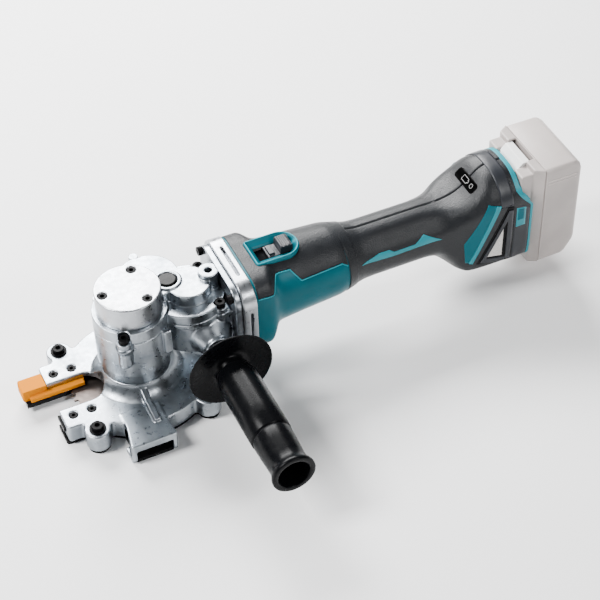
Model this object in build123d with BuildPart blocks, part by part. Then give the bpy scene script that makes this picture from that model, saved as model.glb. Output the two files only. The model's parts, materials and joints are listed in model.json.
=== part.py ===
from build123d import *
import os
from math import atan2, cos, degrees, hypot, pi, radians, sin, tan

# Cordless cutter for steel rod: saw head at the front, motor and grip behind it, battery at the back.
# Frame: origin on the blade axis at the underside of the blade cover, +X towards the battery,
# -Y towards the side handle, +Z up.  Millimetres.

# ---- fits ----
GAP = 0.4            # between pieces that move past each other
FIT = 0.1            # between pieces that are screwed together
RUN = 0.05           # radial clearance of a shaft in its bearing

# ---- blade cover ----
COVER_R = 65.0
LOWER_PLATE_T = 4.0
PLATE_TOP = 21.5
CHAMBER_R = 62.5
CHAMBER_TOP = 16.5
ARM_FRONT = -79.5
ARM_HALF = 40.5
NOTCH_HALF = 16.8
NOTCH_END = -32.0
LUG_R = 11.3
FRONT_LUG = (-56.0, 51.0)
REAR_LUG = (45.0, 56.0)
ARM_SCREWS = ((-52.5, 26.7), (-69.5, 26.7))
OUTLET_MOUTH = -86.0
OUTLET_X = (-38.0, 4.5)
OUTLET_WALL = 4.5
OUTLET_TOP = 22.0

# ---- saw blade and spindle ----
BLADE_R = 61.0
BLADE_Z = 8.0
BLADE_T = 1.8
BLADE_BORE = 10.0
BLADE_TEETH = 40
FLANGE_R = 18.0

# ---- gear train ----
MODULE = 1.0
SPINDLE_TEETH = 48
IDLER_PINION_TEETH = 17
IDLER_TEETH = 46
LAY_PINION_TEETH = 15
BEVEL_TEETH = 36
BEVEL_PINION_TEETH = 12
MOTOR_Z = 77.5
IDLER_ANGLE = 38.6
IDLER_DIST = MODULE * (SPINDLE_TEETH + IDLER_PINION_TEETH) / 2
LAY_DIST = MODULE * (IDLER_TEETH + LAY_PINION_TEETH) / 2
IDLER = (IDLER_DIST * cos(radians(IDLER_ANGLE)), IDLER_DIST * sin(radians(IDLER_ANGLE)))
LAY = (IDLER[0] + (LAY_DIST**2 - IDLER[1] ** 2) ** 0.5, 0.0)
LOW_STAGE_Z = 52.0
LOW_STAGE_T = 8.0
HIGH_STAGE_Z = 64.0
HIGH_STAGE_T = 10.0

# ---- gear housing ----
DRUM_R = 33.0
NECK_R = 31.0
NECK_Z = 34.0
DRUM_Z = 45.5
SEAM_Z = 86.5
IDLER_DRUM_R = 27.5
TOWER_R = 30.0
TOWER_X = 53.0
FLANGE_X = 88.0
HOUSING_FLANGE_X = 82.0
CAP_R = 29.0
CAP_Z = 99.5
CAP_TOP = 122.9
COVER_FLANGE_TOP = 96.0
PLATEAU_TOP = 107.5
PLUG = (38.8, 8.0)
PLUG_R = 9.2
BOSS_X = 74.3
BOSS_R = 9.0
BOSS_TOP = 112.5
BOSS_HOLE_R = 3.4
COVER_SCREW_SPOTS = ((-17.2, -29.8), (-17.2, 29.8), (73.6, -25.5), (73.6, 25.5), (26.5, 51.5))

# ---- motor and grip ----
ADAPTER_T = 13.0
MOTOR_X = FLANGE_X + ADAPTER_T
ADAPTER_HALF = 45.0
ADAPTER_Z = (32.5, 114.5)
ADAPTER_CORNER = 19.0
COLLAR_END = 121.0
MOTOR_END = 206.0
GRIP_R = 27.5
GRIP_END = 290.0
SKIN = 1.6

# ---- battery end ----
BLOCK_HALF = 36.5
BLOCK_BOTTOM = 31.0
BLOCK_TOP = 131.0
RAIL_X = 369.0
BLOCK_REAR = 381.0
BATTERY_X = (382.3, 430.6)
BATTERY_HALF = 37.5
BATTERY_Z = (20.7, 133.4)
LATCH_HALF = 16.0
LATCH_Z = 114.0       # underside of the release button

# ---- side handle ----
HANDLE_X = 62.7
HANDLE_Z = 60.2
HANDLE_BOSS_Y = 46.0
GUARD_RIM_Y = -72.0
GUARD_R = 38.9
GRIP_TIP = -201.5

os.makedirs("parts", exist_ok=True)


def save(piece, name):
    """Label a finished piece and write its file."""
    piece.part.label = name
    export_step(piece.part, f"parts/{name}.step")


def plane_x(x, z=0.0):
    """Plane square to the tool's length: local X runs along +Y, local Y along +Z."""
    return Plane(origin=(x, 0, z), x_dir=(0, 1, 0), z_dir=(1, 0, 0))


def plane_y(y, normal=-1):
    """Plane facing -Y (or +Y): local X runs along +X for the -Y side, local Y along +Z."""
    return Plane(origin=(0, y, 0), x_dir=(-normal, 0, 0), z_dir=(0, normal, 0))


def disc(plane, radius, height, spots=((0, 0),), mode=Mode.ADD):
    """Round columns standing on a plane, added to the part being built."""
    with BuildSketch(plane) as outline:
        with Locations(*spots):
            Circle(radius)
    extrude(outline.sketch, amount=height, mode=mode)


def block(x, y, z, mode=Mode.ADD):
    """Box between two values on each axis, added to the part being built."""
    with BuildSketch(Plane.XY.offset(z[0])) as outline:
        with Locations(((x[0] + x[1]) / 2, (y[0] + y[1]) / 2)):
            Rectangle(x[1] - x[0], y[1] - y[0])
    extrude(outline.sketch, amount=z[1] - z[0], mode=mode)


def ring(plane, outer, inner, height, spots=((0, 0),)):
    """One or more rings, such as bearings, standing on a plane."""
    with BuildPart() as piece:
        with BuildSketch(plane):
            with Locations(*spots):
                Circle(outer)
            with Locations(*spots):
                Circle(inner, mode=Mode.SUBTRACT)
        extrude(amount=height)
        rims = piece.edges().filter_by(GeomType.CIRCLE)
        chamfer(rims, 0.3)
    return piece


def screws(plane, spots, head_r, head_h, shank_r, length, socket_r, washer_r=0.0):
    """Socket screws whose heads stand on a plane, shanks going down from it."""
    with BuildPart() as group:
        disc(plane, head_r, head_h, spots)
        chamfer(group.edges().filter_by(GeomType.CIRCLE), head_r * 0.08)
        disc(plane, shank_r, -length, spots)
        if washer_r:
            disc(plane, washer_r, 1.4, spots)
        with BuildSketch(plane.offset(head_h)):
            with Locations(*spots):
                RegularPolygon(socket_r, 6)
        extrude(amount=-head_h * 0.6, mode=Mode.SUBTRACT)
    return group


def mirrored(spots):
    """The same spots on both sides of the tool's middle plane."""
    return tuple((x, s * y) for s in (1, -1) for x, y in spots)


# ================= gears =================

TOOTH_SHARE = 0.43    # tooth width over pitch on the pitch circle; the rest is backlash
ADDENDUM = 0.85
DEDENDUM = 1.2


def gear_outline(teeth, phase=0.0, scale=1.0):
    """Corner points of a toothed wheel: four involute points up and four down each tooth."""
    pitch = MODULE * teeth / 2
    base = pitch * cos(radians(20))
    tip = pitch + ADDENDUM * MODULE
    root = pitch - DEDENDUM * MODULE
    half = 180 * TOOTH_SHARE / teeth

    def roll(radius):
        ratio = max(radius / base, 1.0)
        turn = (ratio**2 - 1) ** 0.5
        return degrees(turn - atan2(turn, 1.0))

    flank = []
    for share in (0.0, 0.33, 0.66, 1.0):
        radius = root + share * (tip - root)
        flank.append((radius, half + roll(pitch) - roll(radius)))
    points = []
    for tooth in range(teeth):
        middle = phase + 360 * tooth / teeth
        sides = [(r, middle - a) for r, a in flank] + [(r, middle + a) for r, a in reversed(flank)]
        points += [(scale * r * cos(radians(a)), scale * r * sin(radians(a))) for r, a in sides]
    return points


def meshing_phase(teeth_a, phase_a, teeth_b, bearing):
    """Phase that puts wheel B's gap on wheel A's tooth, B lying at this bearing from A."""
    share = (bearing - phase_a) * teeth_a / 360 % 1.0
    return bearing + 180 - (0.5 - share) * 360 / teeth_b


LAY_BEARING = degrees(atan2(LAY[1] - IDLER[1], LAY[0] - IDLER[0]))
SPINDLE_PHASE = 0.0
IDLER_PINION_PHASE = meshing_phase(SPINDLE_TEETH, SPINDLE_PHASE, IDLER_PINION_TEETH, IDLER_ANGLE)
IDLER_PHASE = 0.0
LAY_PINION_PHASE = meshing_phase(IDLER_TEETH, IDLER_PHASE, LAY_PINION_TEETH, LAY_BEARING)


def toothed_wheel(teeth, phase, centre, bottom, height):
    """Toothed wheel standing at a centre, added to the part being built."""
    points = [(x + centre[0], y + centre[1]) for x, y in gear_outline(teeth, phase)]
    with BuildSketch(Plane.XY.offset(bottom)) as outline:
        with BuildLine():
            Polyline(*points, close=True)
        make_face()
    extrude(outline.sketch, amount=height)


# ---- spindle ----
with BuildPart() as spindle_gear:
    with BuildSketch(Plane.XY.offset(HIGH_STAGE_Z)):
        with BuildLine():
            Polyline(*gear_outline(SPINDLE_TEETH, SPINDLE_PHASE), close=True)
        make_face()
        Circle(8 + RUN, mode=Mode.SUBTRACT)
        with PolarLocations(16, 6):
            Circle(3.2, mode=Mode.SUBTRACT)
    extrude(amount=HIGH_STAGE_T)
save(spindle_gear, "spindle_gear")

with BuildPart() as spindle_shaft:
    with BuildSketch(Plane.XZ):
        with BuildLine():
            Polyline(
                (0, 16), (8, 16), (8, 46), (7.5, 46), (7.5, 63.5), (8, 63.5), (8, 74),
                (7, 74), (7, 98.6), (0, 98.6), close=True,
            )
        make_face()
    revolve(axis=Axis.Z)
    disc(Plane.XY.offset(16), 4 + FIT, 14, mode=Mode.SUBTRACT)
save(spindle_shaft, "spindle_shaft")

with BuildPart() as blade_inner_flange:
    disc(Plane.XY.offset(BLADE_Z + BLADE_T), FLANGE_R, 16 - BLADE_Z - BLADE_T)
    disc(Plane.XY.offset(BLADE_Z + 0.1), BLADE_BORE - FIT, BLADE_T)
    disc(Plane.XY.offset(BLADE_Z), 4 + FIT, 20, mode=Mode.SUBTRACT)
save(blade_inner_flange, "blade_inner_flange")

with BuildPart() as blade_outer_flange:
    disc(Plane.XY.offset(BLADE_Z), FLANGE_R, -3.2)
    disc(Plane.XY.offset(BLADE_Z), 4 + FIT, -10, mode=Mode.SUBTRACT)
    chamfer(blade_outer_flange.faces().sort_by(Axis.Z)[0].edges(), 0.8)
save(blade_outer_flange, "blade_outer_flange")

blade_bolt = screws(Plane.XY.offset(BLADE_Z - 3.2).rotated((180, 0, 0)), ((0, 0),), 7.0, 3.4, 4.0, 23, 3.4)
save(blade_bolt, "blade_bolt")


def blade_points():
    """Saw teeth: a steep front, a sloping back and a flat gullet for each."""
    points = []
    for tooth in range(BLADE_TEETH):
        start = 360 * tooth / BLADE_TEETH
        step = 360 / BLADE_TEETH
        for turn, radius in ((0.0, BLADE_R), (0.12, BLADE_R), (0.16, BLADE_R - 3.4), (0.5, BLADE_R - 3.6)):
            angle = radians(start + turn * step)
            points.append((radius * cos(angle), radius * sin(angle)))
    return points


with BuildPart() as saw_blade:
    with BuildSketch(Plane.XY.offset(BLADE_Z)):
        with BuildLine():
            Polyline(*blade_points(), close=True)
        make_face()
        Circle(BLADE_BORE, mode=Mode.SUBTRACT)
    extrude(amount=BLADE_T)
save(saw_blade, "saw_blade")

# ---- intermediate shaft ----
with BuildPart() as idler_pinion_shaft:
    disc(Plane.XY.offset(41.5), 4, 51, (IDLER,))
    disc(Plane.XY.offset(60.2), 6, 3, (IDLER,))
    toothed_wheel(IDLER_PINION_TEETH, IDLER_PINION_PHASE, IDLER, HIGH_STAGE_Z - 0.8, HIGH_STAGE_T + 1.6)
save(idler_pinion_shaft, "idler_pinion_shaft")

with BuildPart() as idler_gear:
    toothed_wheel(IDLER_TEETH, IDLER_PHASE, IDLER, LOW_STAGE_Z, LOW_STAGE_T)
    disc(Plane.XY.offset(LOW_STAGE_Z), 4 + RUN, LOW_STAGE_T, (IDLER,), Mode.SUBTRACT)
    lightening = [(IDLER[0] + 14 * cos(pi * k / 3), IDLER[1] + 14 * sin(pi * k / 3)) for k in range(6)]
    disc(Plane.XY.offset(LOW_STAGE_Z), 3.5, LOW_STAGE_T, lightening, Mode.SUBTRACT)
save(idler_gear, "idler_gear")

# ---- layshaft with its bevel gear ----
with BuildPart() as layshaft:
    disc(Plane.XY.offset(41.5), 4, 51, (LAY,))
    toothed_wheel(LAY_PINION_TEETH, LAY_PINION_PHASE, LAY, LOW_STAGE_Z - 0.7, LOW_STAGE_T + 1.4)
save(layshaft, "layshaft")

BEVEL_R = MODULE * BEVEL_TEETH / 2
BEVEL_PINION_R = MODULE * BEVEL_PINION_TEETH / 2
CONE = hypot(BEVEL_R, BEVEL_PINION_R)
FACE_SHARE = (CONE - 6.0) / CONE
TOOTH_ROOM = 1.5


def cone_outline(teeth, height, gap_at=None, shrink=1.0):
    """Straight-flank teeth of a bevel wheel cut square to its axis at a height below the apex."""
    pitch_angle = atan2(teeth, BEVEL_TEETH + BEVEL_PINION_TEETH - teeth)
    tip = height * tan(pitch_angle + atan2(0.7, CONE))
    root = height * tan(pitch_angle - atan2(1.15, CONE))
    points = []
    for tooth in range(teeth):
        middle = 360 * (tooth + (0.5 if gap_at else 0.0)) / teeth
        wide = 360 / teeth * 0.27
        narrow = 360 / teeth * 0.09
        for radius, turn in ((root, -wide), (tip, -narrow), (tip, narrow), (root, wide)):
            angle = radians(middle + turn)
            points.append((shrink * radius * cos(angle), shrink * radius * sin(angle)))
    return points


with BuildPart() as bevel_gear:
    for share in (1.0, FACE_SHARE):
        height = BEVEL_PINION_R * share
        with BuildSketch(Plane(origin=(LAY[0], 0, MOTOR_Z - height))):
            with BuildLine():
                Polyline(*cone_outline(BEVEL_TEETH, height), close=True)
            make_face()
    loft(ruled=True)
    # teeth carried down to the disc that backs them
    with BuildSketch(Plane(origin=(LAY[0], 0, MOTOR_Z - BEVEL_PINION_R))):
        with BuildLine():
            Polyline(*cone_outline(BEVEL_TEETH, BEVEL_PINION_R), close=True)
        make_face()
    extrude(amount=-TOOTH_ROOM)
    disc(Plane.XY.offset(MOTOR_Z - BEVEL_PINION_R - TOOTH_ROOM), BEVEL_R + 0.6, -6.2, (LAY,))
    disc(Plane.XY.offset(MOTOR_Z - BEVEL_PINION_R - 9), BEVEL_R + 0.6, 12, (LAY,), Mode.INTERSECT)
    disc(Plane.XY.offset(60), 4 + RUN, 20, (LAY,), Mode.SUBTRACT)
save(bevel_gear, "bevel_gear")

# ---- rotor ----
PINION_FRONT = LAY[0] + BEVEL_R * FACE_SHARE
PINION_BACK = LAY[0] + BEVEL_R
with BuildPart() as bevel_pinion:
    for share in (1.0, FACE_SHARE):
        height = BEVEL_R * share
        with BuildSketch(plane_x(LAY[0] + height, MOTOR_Z)):
            with BuildLine():
                Polyline(*cone_outline(BEVEL_PINION_TEETH, height, gap_at=True), close=True)
            make_face()
    loft(ruled=True)
    disc(plane_x(PINION_BACK, MOTOR_Z), 4.9, 3)
    disc(plane_x(PINION_FRONT - 5, MOTOR_Z), 2.5 + RUN, 20, mode=Mode.SUBTRACT)
save(bevel_pinion, "bevel_pinion")

with BuildPart() as rotor_shaft:
    disc(plane_x(PINION_FRONT + 0.5, MOTOR_Z), 2.5, PINION_BACK - PINION_FRONT + 2.5)
    disc(plane_x(PINION_BACK + 3, MOTOR_Z), 5, 101 - PINION_BACK - 3)
    disc(plane_x(101, MOTOR_Z), 4, 99)
save(rotor_shaft, "rotor_shaft")

with BuildPart() as rotor_core:
    disc(plane_x(124, MOTOR_Z), 12.5, 52)
    disc(plane_x(124, MOTOR_Z), 4 + RUN, 52, mode=Mode.SUBTRACT)
save(rotor_core, "rotor_core")

FAN_BLADES = 11
with BuildPart() as cooling_fan:
    disc(plane_x(104, MOTOR_Z), 27, 1.6)
    disc(plane_x(104, MOTOR_Z), 8, 12)
    with BuildSketch(plane_x(105.4, MOTOR_Z)):
        with PolarLocations(0, FAN_BLADES):
            with Locations((17, 2)):
                Rectangle(17, 1.4, rotation=24)
    extrude(amount=10)
    disc(plane_x(100, MOTOR_Z), 27.2, 20, mode=Mode.INTERSECT)
    disc(plane_x(100, MOTOR_Z), 4 + RUN, 20, mode=Mode.SUBTRACT)
save(cooling_fan, "cooling_fan")

# ================= bearings and seal =================


def bearing_pair(first, second):
    """Two finished rings, or two pairs of them, kept in one piece."""
    with BuildPart() as pair:
        add(first.part)
        add(second.part)
    return pair


shaft_spots = (IDLER, LAY)
spindle_bearings = bearing_pair(
    ring(Plane.XY.offset(35), 16, 8 + RUN, 10), ring(Plane.XY.offset(89), 14, 7 + RUN, 9)
)
save(spindle_bearings, "spindle_bearings")
gear_shaft_bearings = bearing_pair(
    ring(Plane.XY.offset(41.8), 8, 4 + RUN, 6, shaft_spots),
    ring(Plane.XY.offset(87), 8, 4 + RUN, 6, shaft_spots),
)
save(gear_shaft_bearings, "gear_shaft_bearings")
rotor_bearings = bearing_pair(
    ring(plane_x(89, MOTOR_Z), 13, 5 + RUN, 9), ring(plane_x(189, MOTOR_Z), 11, 4 + RUN, 8)
)
save(rotor_bearings, "rotor_bearings")
save(ring(Plane.XY.offset(29.5), 14, 8 + GAP, 3.4), "spindle_seal")

# ================= blade cover =================


def cover_outline(inset, arm_front):
    """Plan shape of the blade cover: disc, two arms, four screw lugs, and the notch for the rod."""
    with BuildSketch() as outline:
        Circle(COVER_R - inset)
        with Locations(*mirrored((FRONT_LUG, REAR_LUG))):
            Circle(LUG_R - inset)
        with Locations(*mirrored(((FRONT_LUG[0], FRONT_LUG[1] - 8),))):
            Rectangle(13, 12)
        arm_length = -30 - arm_front
        with Locations((arm_front + arm_length / 2, 0)):
            RectangleRounded(arm_length, 2 * (ARM_HALF - inset), 3.5)
        offset(amount=3)
        offset(amount=-3)
        slot_length = NOTCH_END - NOTCH_HALF - (arm_front - 20)
        with Locations((arm_front - 20 + slot_length / 2, 0)):
            Rectangle(slot_length, 2 * NOTCH_HALF, mode=Mode.SUBTRACT)
        with Locations((NOTCH_END - NOTCH_HALF, 0)):
            Circle(NOTCH_HALF, mode=Mode.SUBTRACT)
    return outline.sketch


upper_outline = cover_outline(0.0, ARM_FRONT)
lower_outline = cover_outline(1.5, ARM_FRONT - 2.0)
lug_spots = mirrored((FRONT_LUG, REAR_LUG))
arm_spots = mirrored(ARM_SCREWS)
duct_inner = (OUTLET_X[0] + OUTLET_WALL, OUTLET_X[1] - OUTLET_WALL)
TONGUE_Z = (11.2, 15.4)
TONGUE_X = (-79.0, -45.0)
TONGUE_Y = 33.0

with BuildPart() as blade_cover_upper:
    with BuildSketch(Plane.XY.offset(LOWER_PLATE_T)):
        add(upper_outline)
    extrude(amount=PLATE_TOP - LOWER_PLATE_T)
    # concave collar that rises from the plate to the gear housing
    with BuildSketch(Plane.XZ):
        with BuildLine():
            Line((20, 18), (20, NECK_Z))
            Line((20, NECK_Z), (NECK_R, NECK_Z))
            ThreePointArc((NECK_R, NECK_Z), (36.5, 25.2), (57, PLATE_TOP - 0.5))
            Line((57, PLATE_TOP - 0.5), (57, 18))
            Line((57, 18), (20, 18))
        make_face()
    revolve(axis=Axis.Z)
    # chip outlet, widening slightly towards its mouth
    with BuildSketch(Plane.XY.offset(LOWER_PLATE_T)):
        with BuildLine():
            Polyline(
                (OUTLET_X[0] + 5, -45), (OUTLET_X[0] + 5, -60), (OUTLET_X[0], OUTLET_MOUTH),
                (OUTLET_X[1], OUTLET_MOUTH), (OUTLET_X[1] - 2, -60), (OUTLET_X[1] - 2, -45), close=True,
            )
        make_face()
    extrude(amount=OUTLET_TOP - LOWER_PLATE_T)
    fillet(blade_cover_upper.edges().filter_by(Axis.Z).sort_by(Axis.Y)[0:2], 2.5)
    for wall in ((OUTLET_X[0], duct_inner[0]), (duct_inner[1], OUTLET_X[1])):
        block(wall, (OUTLET_MOUTH + 2.5, -68), (0, LOWER_PLATE_T + 1))
    # stiffening rib from the collar to the outlet
    with BuildSketch(Plane.YZ.offset(-6)):
        with BuildLine():
            Polyline((-28, 20), (-28, 32.5), (-34, 29.5), (-42, 26.2), (-66, 24.6), (-68, 20), close=True)
        make_face()
    extrude(amount=2.7, both=True)
    # blade chamber, duct, way through for the spindle
    disc(Plane.XY, CHAMBER_R, CHAMBER_TOP, mode=Mode.SUBTRACT)
    disc(Plane.XY, 19.6, 60, mode=Mode.SUBTRACT)
    block(duct_inner, (OUTLET_MOUTH - 1, -40), (-1, 14.5), Mode.SUBTRACT)
    with BuildSketch(Plane.XY.offset(10)):
        with Locations((NOTCH_END - NOTCH_HALF - 30, 0)):
            Rectangle(60, 2 * NOTCH_HALF)
        with Locations((NOTCH_END - NOTCH_HALF, 0)):
            Circle(NOTCH_HALF)
    extrude(amount=40, mode=Mode.SUBTRACT)
    # pockets for the two tongues, and the screw holes
    for side in (1, -1):
        ends = sorted((side * (NOTCH_HALF - 1), side * (TONGUE_Y + FIT)))
        block((ARM_FRONT - 1, TONGUE_X[1] + 2), ends, (TONGUE_Z[0] - FIT, TONGUE_Z[1] + FIT), Mode.SUBTRACT)
    disc(Plane.XY.offset(TONGUE_Z[0]), 2 + FIT, 20, arm_spots, Mode.SUBTRACT)
    disc(Plane.XY.offset(PLATE_TOP - 3.6), 3.9, 5, arm_spots, Mode.SUBTRACT)
    disc(Plane.XY, 3 + FIT, 30, lug_spots, Mode.SUBTRACT)
save(blade_cover_upper, "blade_cover_upper")

with BuildPart() as blade_cover_lower:
    with BuildSketch():
        add(lower_outline)
        with Locations((sum(duct_inner) / 2, -67)):
            Rectangle(duct_inner[1] - duct_inner[0] - 2 * FIT, 34)
        Circle(FLANGE_R + 3, mode=Mode.SUBTRACT)
    extrude(amount=LOWER_PLATE_T - FIT)
    disc(Plane.XY, 3 + FIT, 10, lug_spots, Mode.SUBTRACT)
save(blade_cover_lower, "blade_cover_lower")

blade_cover_screws = screws(Plane.XY.offset(PLATE_TOP), lug_spots, 5.4, 5.0, 3.0, 19.2, 2.7, washer_r=7.4)
save(blade_cover_screws, "blade_cover_screws")
# ---- rod guide on the far arm, rod rest on the near arm ----
with BuildPart() as guide_block:
    block((-102, ARM_FRONT - FIT), (15.5, 31.6), (10.4, 22.6))
    chamfer(guide_block.edges().group_by(Axis.X)[0], 1.0)
    block((-96, -46), (11.2, NOTCH_HALF - 0.2), (11.2, 15.4))
    block(TONGUE_X, (NOTCH_HALF - 0.6, TONGUE_Y), TONGUE_Z)
    disc(Plane.XY.offset(TONGUE_Z[0]), 2 + FIT, 10, ARM_SCREWS, Mode.SUBTRACT)
save(guide_block, "guide_block")

with BuildPart() as guide_backing_plate:
    block((-100, ARM_FRONT - 1), (16.0, 31.0), (5.5, 10.3))
    block((-100, -64.5), (11.6, 16.2), (5.5, 10.3))
save(guide_backing_plate, "guide_backing_plate")

near_screws = tuple((x, -y) for x, y in ARM_SCREWS)
with BuildPart() as rod_rest:
    block((ARM_FRONT - 1.8, TONGUE_X[1]), (-TONGUE_Y, 0.4 - NOTCH_HALF), TONGUE_Z)
    disc(Plane.XY.offset(TONGUE_Z[0]), 2 + FIT, 10, near_screws, Mode.SUBTRACT)
save(rod_rest, "rod_rest")
save(screws(Plane.XY.offset(PLATE_TOP - 3.5), arm_spots, 3.7, 3.4, 2.0, 6.6, 1.9), "guide_screws")

# ================= gear housing =================
SEAT_Z = 42.0
ADAPTER_MID = (ADAPTER_Z[0] + ADAPTER_Z[1]) / 2
adapter_spots = tuple((sy * 34, sz * 30.5) for sy in (-1, 1) for sz in (-1, 1))

with BuildPart() as gear_housing:
    disc(Plane.XY.offset(29), 19.4, 8)
    disc(Plane.XY.offset(NECK_Z + FIT), NECK_R, 13)
    disc(Plane.XY.offset(DRUM_Z), DRUM_R, SEAM_Z - DRUM_Z)
    disc(Plane.XY.offset(50), IDLER_DRUM_R, SEAM_Z - 50, (IDLER,))
    disc(Plane.XY.offset(50), TOWER_R, SEAM_Z - 50, ((TOWER_X, 0),))
    disc(Plane.XY.offset(SEAM_Z - 6), TOWER_R + 3, 6, ((TOWER_X, 0),))
    disc(Plane.XY.offset(39.5), 11, 12, (IDLER, LAY))
    disc(Plane.XY.offset(SEAM_Z - 22), 6.3, 22, COVER_SCREW_SPOTS)
    block((46, 80), (-28, 28), (48, SEAM_Z))
    with BuildSketch(plane_x(70, MOTOR_Z - 4)):
        RectangleRounded(62, 66, 16)
    extrude(amount=FLANGE_X - FIT - 70)
    with BuildSketch(plane_x(HOUSING_FLANGE_X, ADAPTER_MID)):
        RectangleRounded(2 * ADAPTER_HALF - 6, ADAPTER_Z[1] - ADAPTER_Z[0] - 6, ADAPTER_CORNER - 3)
    extrude(amount=FLANGE_X - FIT - HOUSING_FLANGE_X)
    # boss for the side handle on each side
    for side in (-1, 1):
        disc(plane_y(side * 25, side), 12.5, HANDLE_BOSS_Y - 25, ((-side * HANDLE_X, HANDLE_Z),))
        disc(plane_y(side * 24, side), 4 + FIT, 30, ((-side * HANDLE_X, HANDLE_Z),), Mode.SUBTRACT)
    block((20, HOUSING_FLANGE_X), (-60, 60), (SEAM_Z, 140), Mode.SUBTRACT)
    disc(plane_x(75, ADAPTER_MID), 2.2 + FIT, 30, adapter_spots, Mode.SUBTRACT)
    # gear spaces
    disc(Plane.XY.offset(49), DRUM_R - 5, 60, mode=Mode.SUBTRACT)
    disc(Plane.XY.offset(50.8), IDLER_DRUM_R - 2.6, 60, (IDLER,), Mode.SUBTRACT)
    disc(Plane.XY.offset(50.8), TOWER_R - 8, 60, ((TOWER_X - 2, 0),), Mode.SUBTRACT)
    disc(plane_x(60, MOTOR_Z), 14, 20, mode=Mode.SUBTRACT)
    disc(plane_x(78, MOTOR_Z), 20, 20, mode=Mode.SUBTRACT)
    # seats of the lower bearings, spindle seal and shafts
    disc(Plane.XY.offset(SEAT_Z - 0.3), 8 + FIT, 20, (IDLER, LAY), Mode.SUBTRACT)
    disc(Plane.XY.offset(40.7), 5, 20, (IDLER, LAY), Mode.SUBTRACT)
    disc(Plane.XY.offset(35), 16 + FIT, 20, mode=Mode.SUBTRACT)
    disc(Plane.XY.offset(20), 14 + FIT, 13, mode=Mode.SUBTRACT)
    disc(Plane.XY.offset(20), 10, 40, mode=Mode.SUBTRACT)
    disc(Plane.XY.offset(SEAM_Z - 14), 2.5 + FIT, 20, COVER_SCREW_SPOTS, Mode.SUBTRACT)
save(gear_housing, "gear_housing")

cap_spots = tuple((22.4 * cos(radians(a)), 22.4 * sin(radians(a))) for a in (-60, 60, 180))

with BuildPart() as gear_housing_cover:
    disc(Plane.XY.offset(SEAM_Z + FIT), DRUM_R, CAP_Z - SEAM_Z - 2 * FIT)
    disc(Plane.XY.offset(SEAM_Z + FIT), TOWER_R + 3, COVER_FLANGE_TOP - SEAM_Z, ((TOWER_X, 0),))
    disc(Plane.XY.offset(SEAM_Z + FIT), 6.3, COVER_FLANGE_TOP - 4 - SEAM_Z, COVER_SCREW_SPOTS)
    disc(Plane.XY.offset(SEAM_Z + FIT), IDLER_DRUM_R, PLATEAU_TOP - SEAM_Z, (IDLER,))
    disc(Plane.XY.offset(SEAM_Z + FIT), 19.5, PLATEAU_TOP - SEAM_Z, ((54.5, -1),))
    disc(Plane.XY.offset(SEAM_Z + FIT), PLUG_R + 3, PLATEAU_TOP + 1.5 - SEAM_Z, (PLUG,))
    disc(Plane.XY.offset(SEAM_Z + FIT), BOSS_R, BOSS_TOP - SEAM_Z - FIT, ((BOSS_X, 0),))
    disc(Plane.XY.offset(CAP_Z - FIT), CAP_R + 0.6, 30, mode=Mode.SUBTRACT)
    disc(Plane.XY.offset(SEAM_Z), 14 + FIT, 40, mode=Mode.SUBTRACT)
    disc(Plane.XY.offset(80), 8 + FIT, 14, (IDLER, LAY), Mode.SUBTRACT)
    disc(Plane.XY.offset(PLATEAU_TOP - 5), PLUG_R + FIT, 20, (PLUG,), Mode.SUBTRACT)
    disc(Plane.XY.offset(BOSS_TOP - 16), BOSS_HOLE_R, 20, ((BOSS_X, 0),), Mode.SUBTRACT)
    disc(Plane.XY.offset(COVER_FLANGE_TOP - 4 + FIT), 5.2, 30, COVER_SCREW_SPOTS, Mode.SUBTRACT)
    disc(Plane.XY.offset(80), 2.5 + FIT, 40, COVER_SCREW_SPOTS, Mode.SUBTRACT)
    disc(Plane.XY.offset(90), 2 + FIT, 20, cap_spots, Mode.SUBTRACT)
    block((HOUSING_FLANGE_X - FIT, 120), (-60, 60), (SEAM_Z, 140), Mode.SUBTRACT)
save(gear_housing_cover, "gear_housing_cover")
cover_seat = Plane.XY.offset(COVER_FLANGE_TOP - 4 + 2 * FIT)
save(screws(cover_seat, COVER_SCREW_SPOTS, 4.6, 5.0, 2.5, 18, 2.3), "gear_cover_screws")

with BuildPart() as rubber_plug:
    disc(Plane.XY.offset(PLATEAU_TOP - 4.9), PLUG_R, 7.2, (PLUG,))
    fillet(rubber_plug.faces().sort_by(Axis.Z)[-1].edges(), 2.4)
save(rubber_plug, "rubber_plug")

with BuildPart() as spindle_cap:
    disc(Plane.XY.offset(CAP_Z), CAP_R, CAP_TOP - CAP_Z)
    chamfer(spindle_cap.faces().sort_by(Axis.Z)[-1].edges(), 0.6)
    disc(Plane.XY.offset(CAP_Z), 15, 16, mode=Mode.SUBTRACT)
    disc(Plane.XY.offset(CAP_Z), 2 + FIT, 40, cap_spots, Mode.SUBTRACT)
    disc(Plane.XY.offset(CAP_TOP - 4.2), 4.3, 10, cap_spots, Mode.SUBTRACT)
save(spindle_cap, "spindle_cap")
save(screws(Plane.XY.offset(CAP_TOP - 4.1), cap_spots, 4.2, 3.9, 2.0, 27, 2.2), "spindle_cap_screws")

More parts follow.
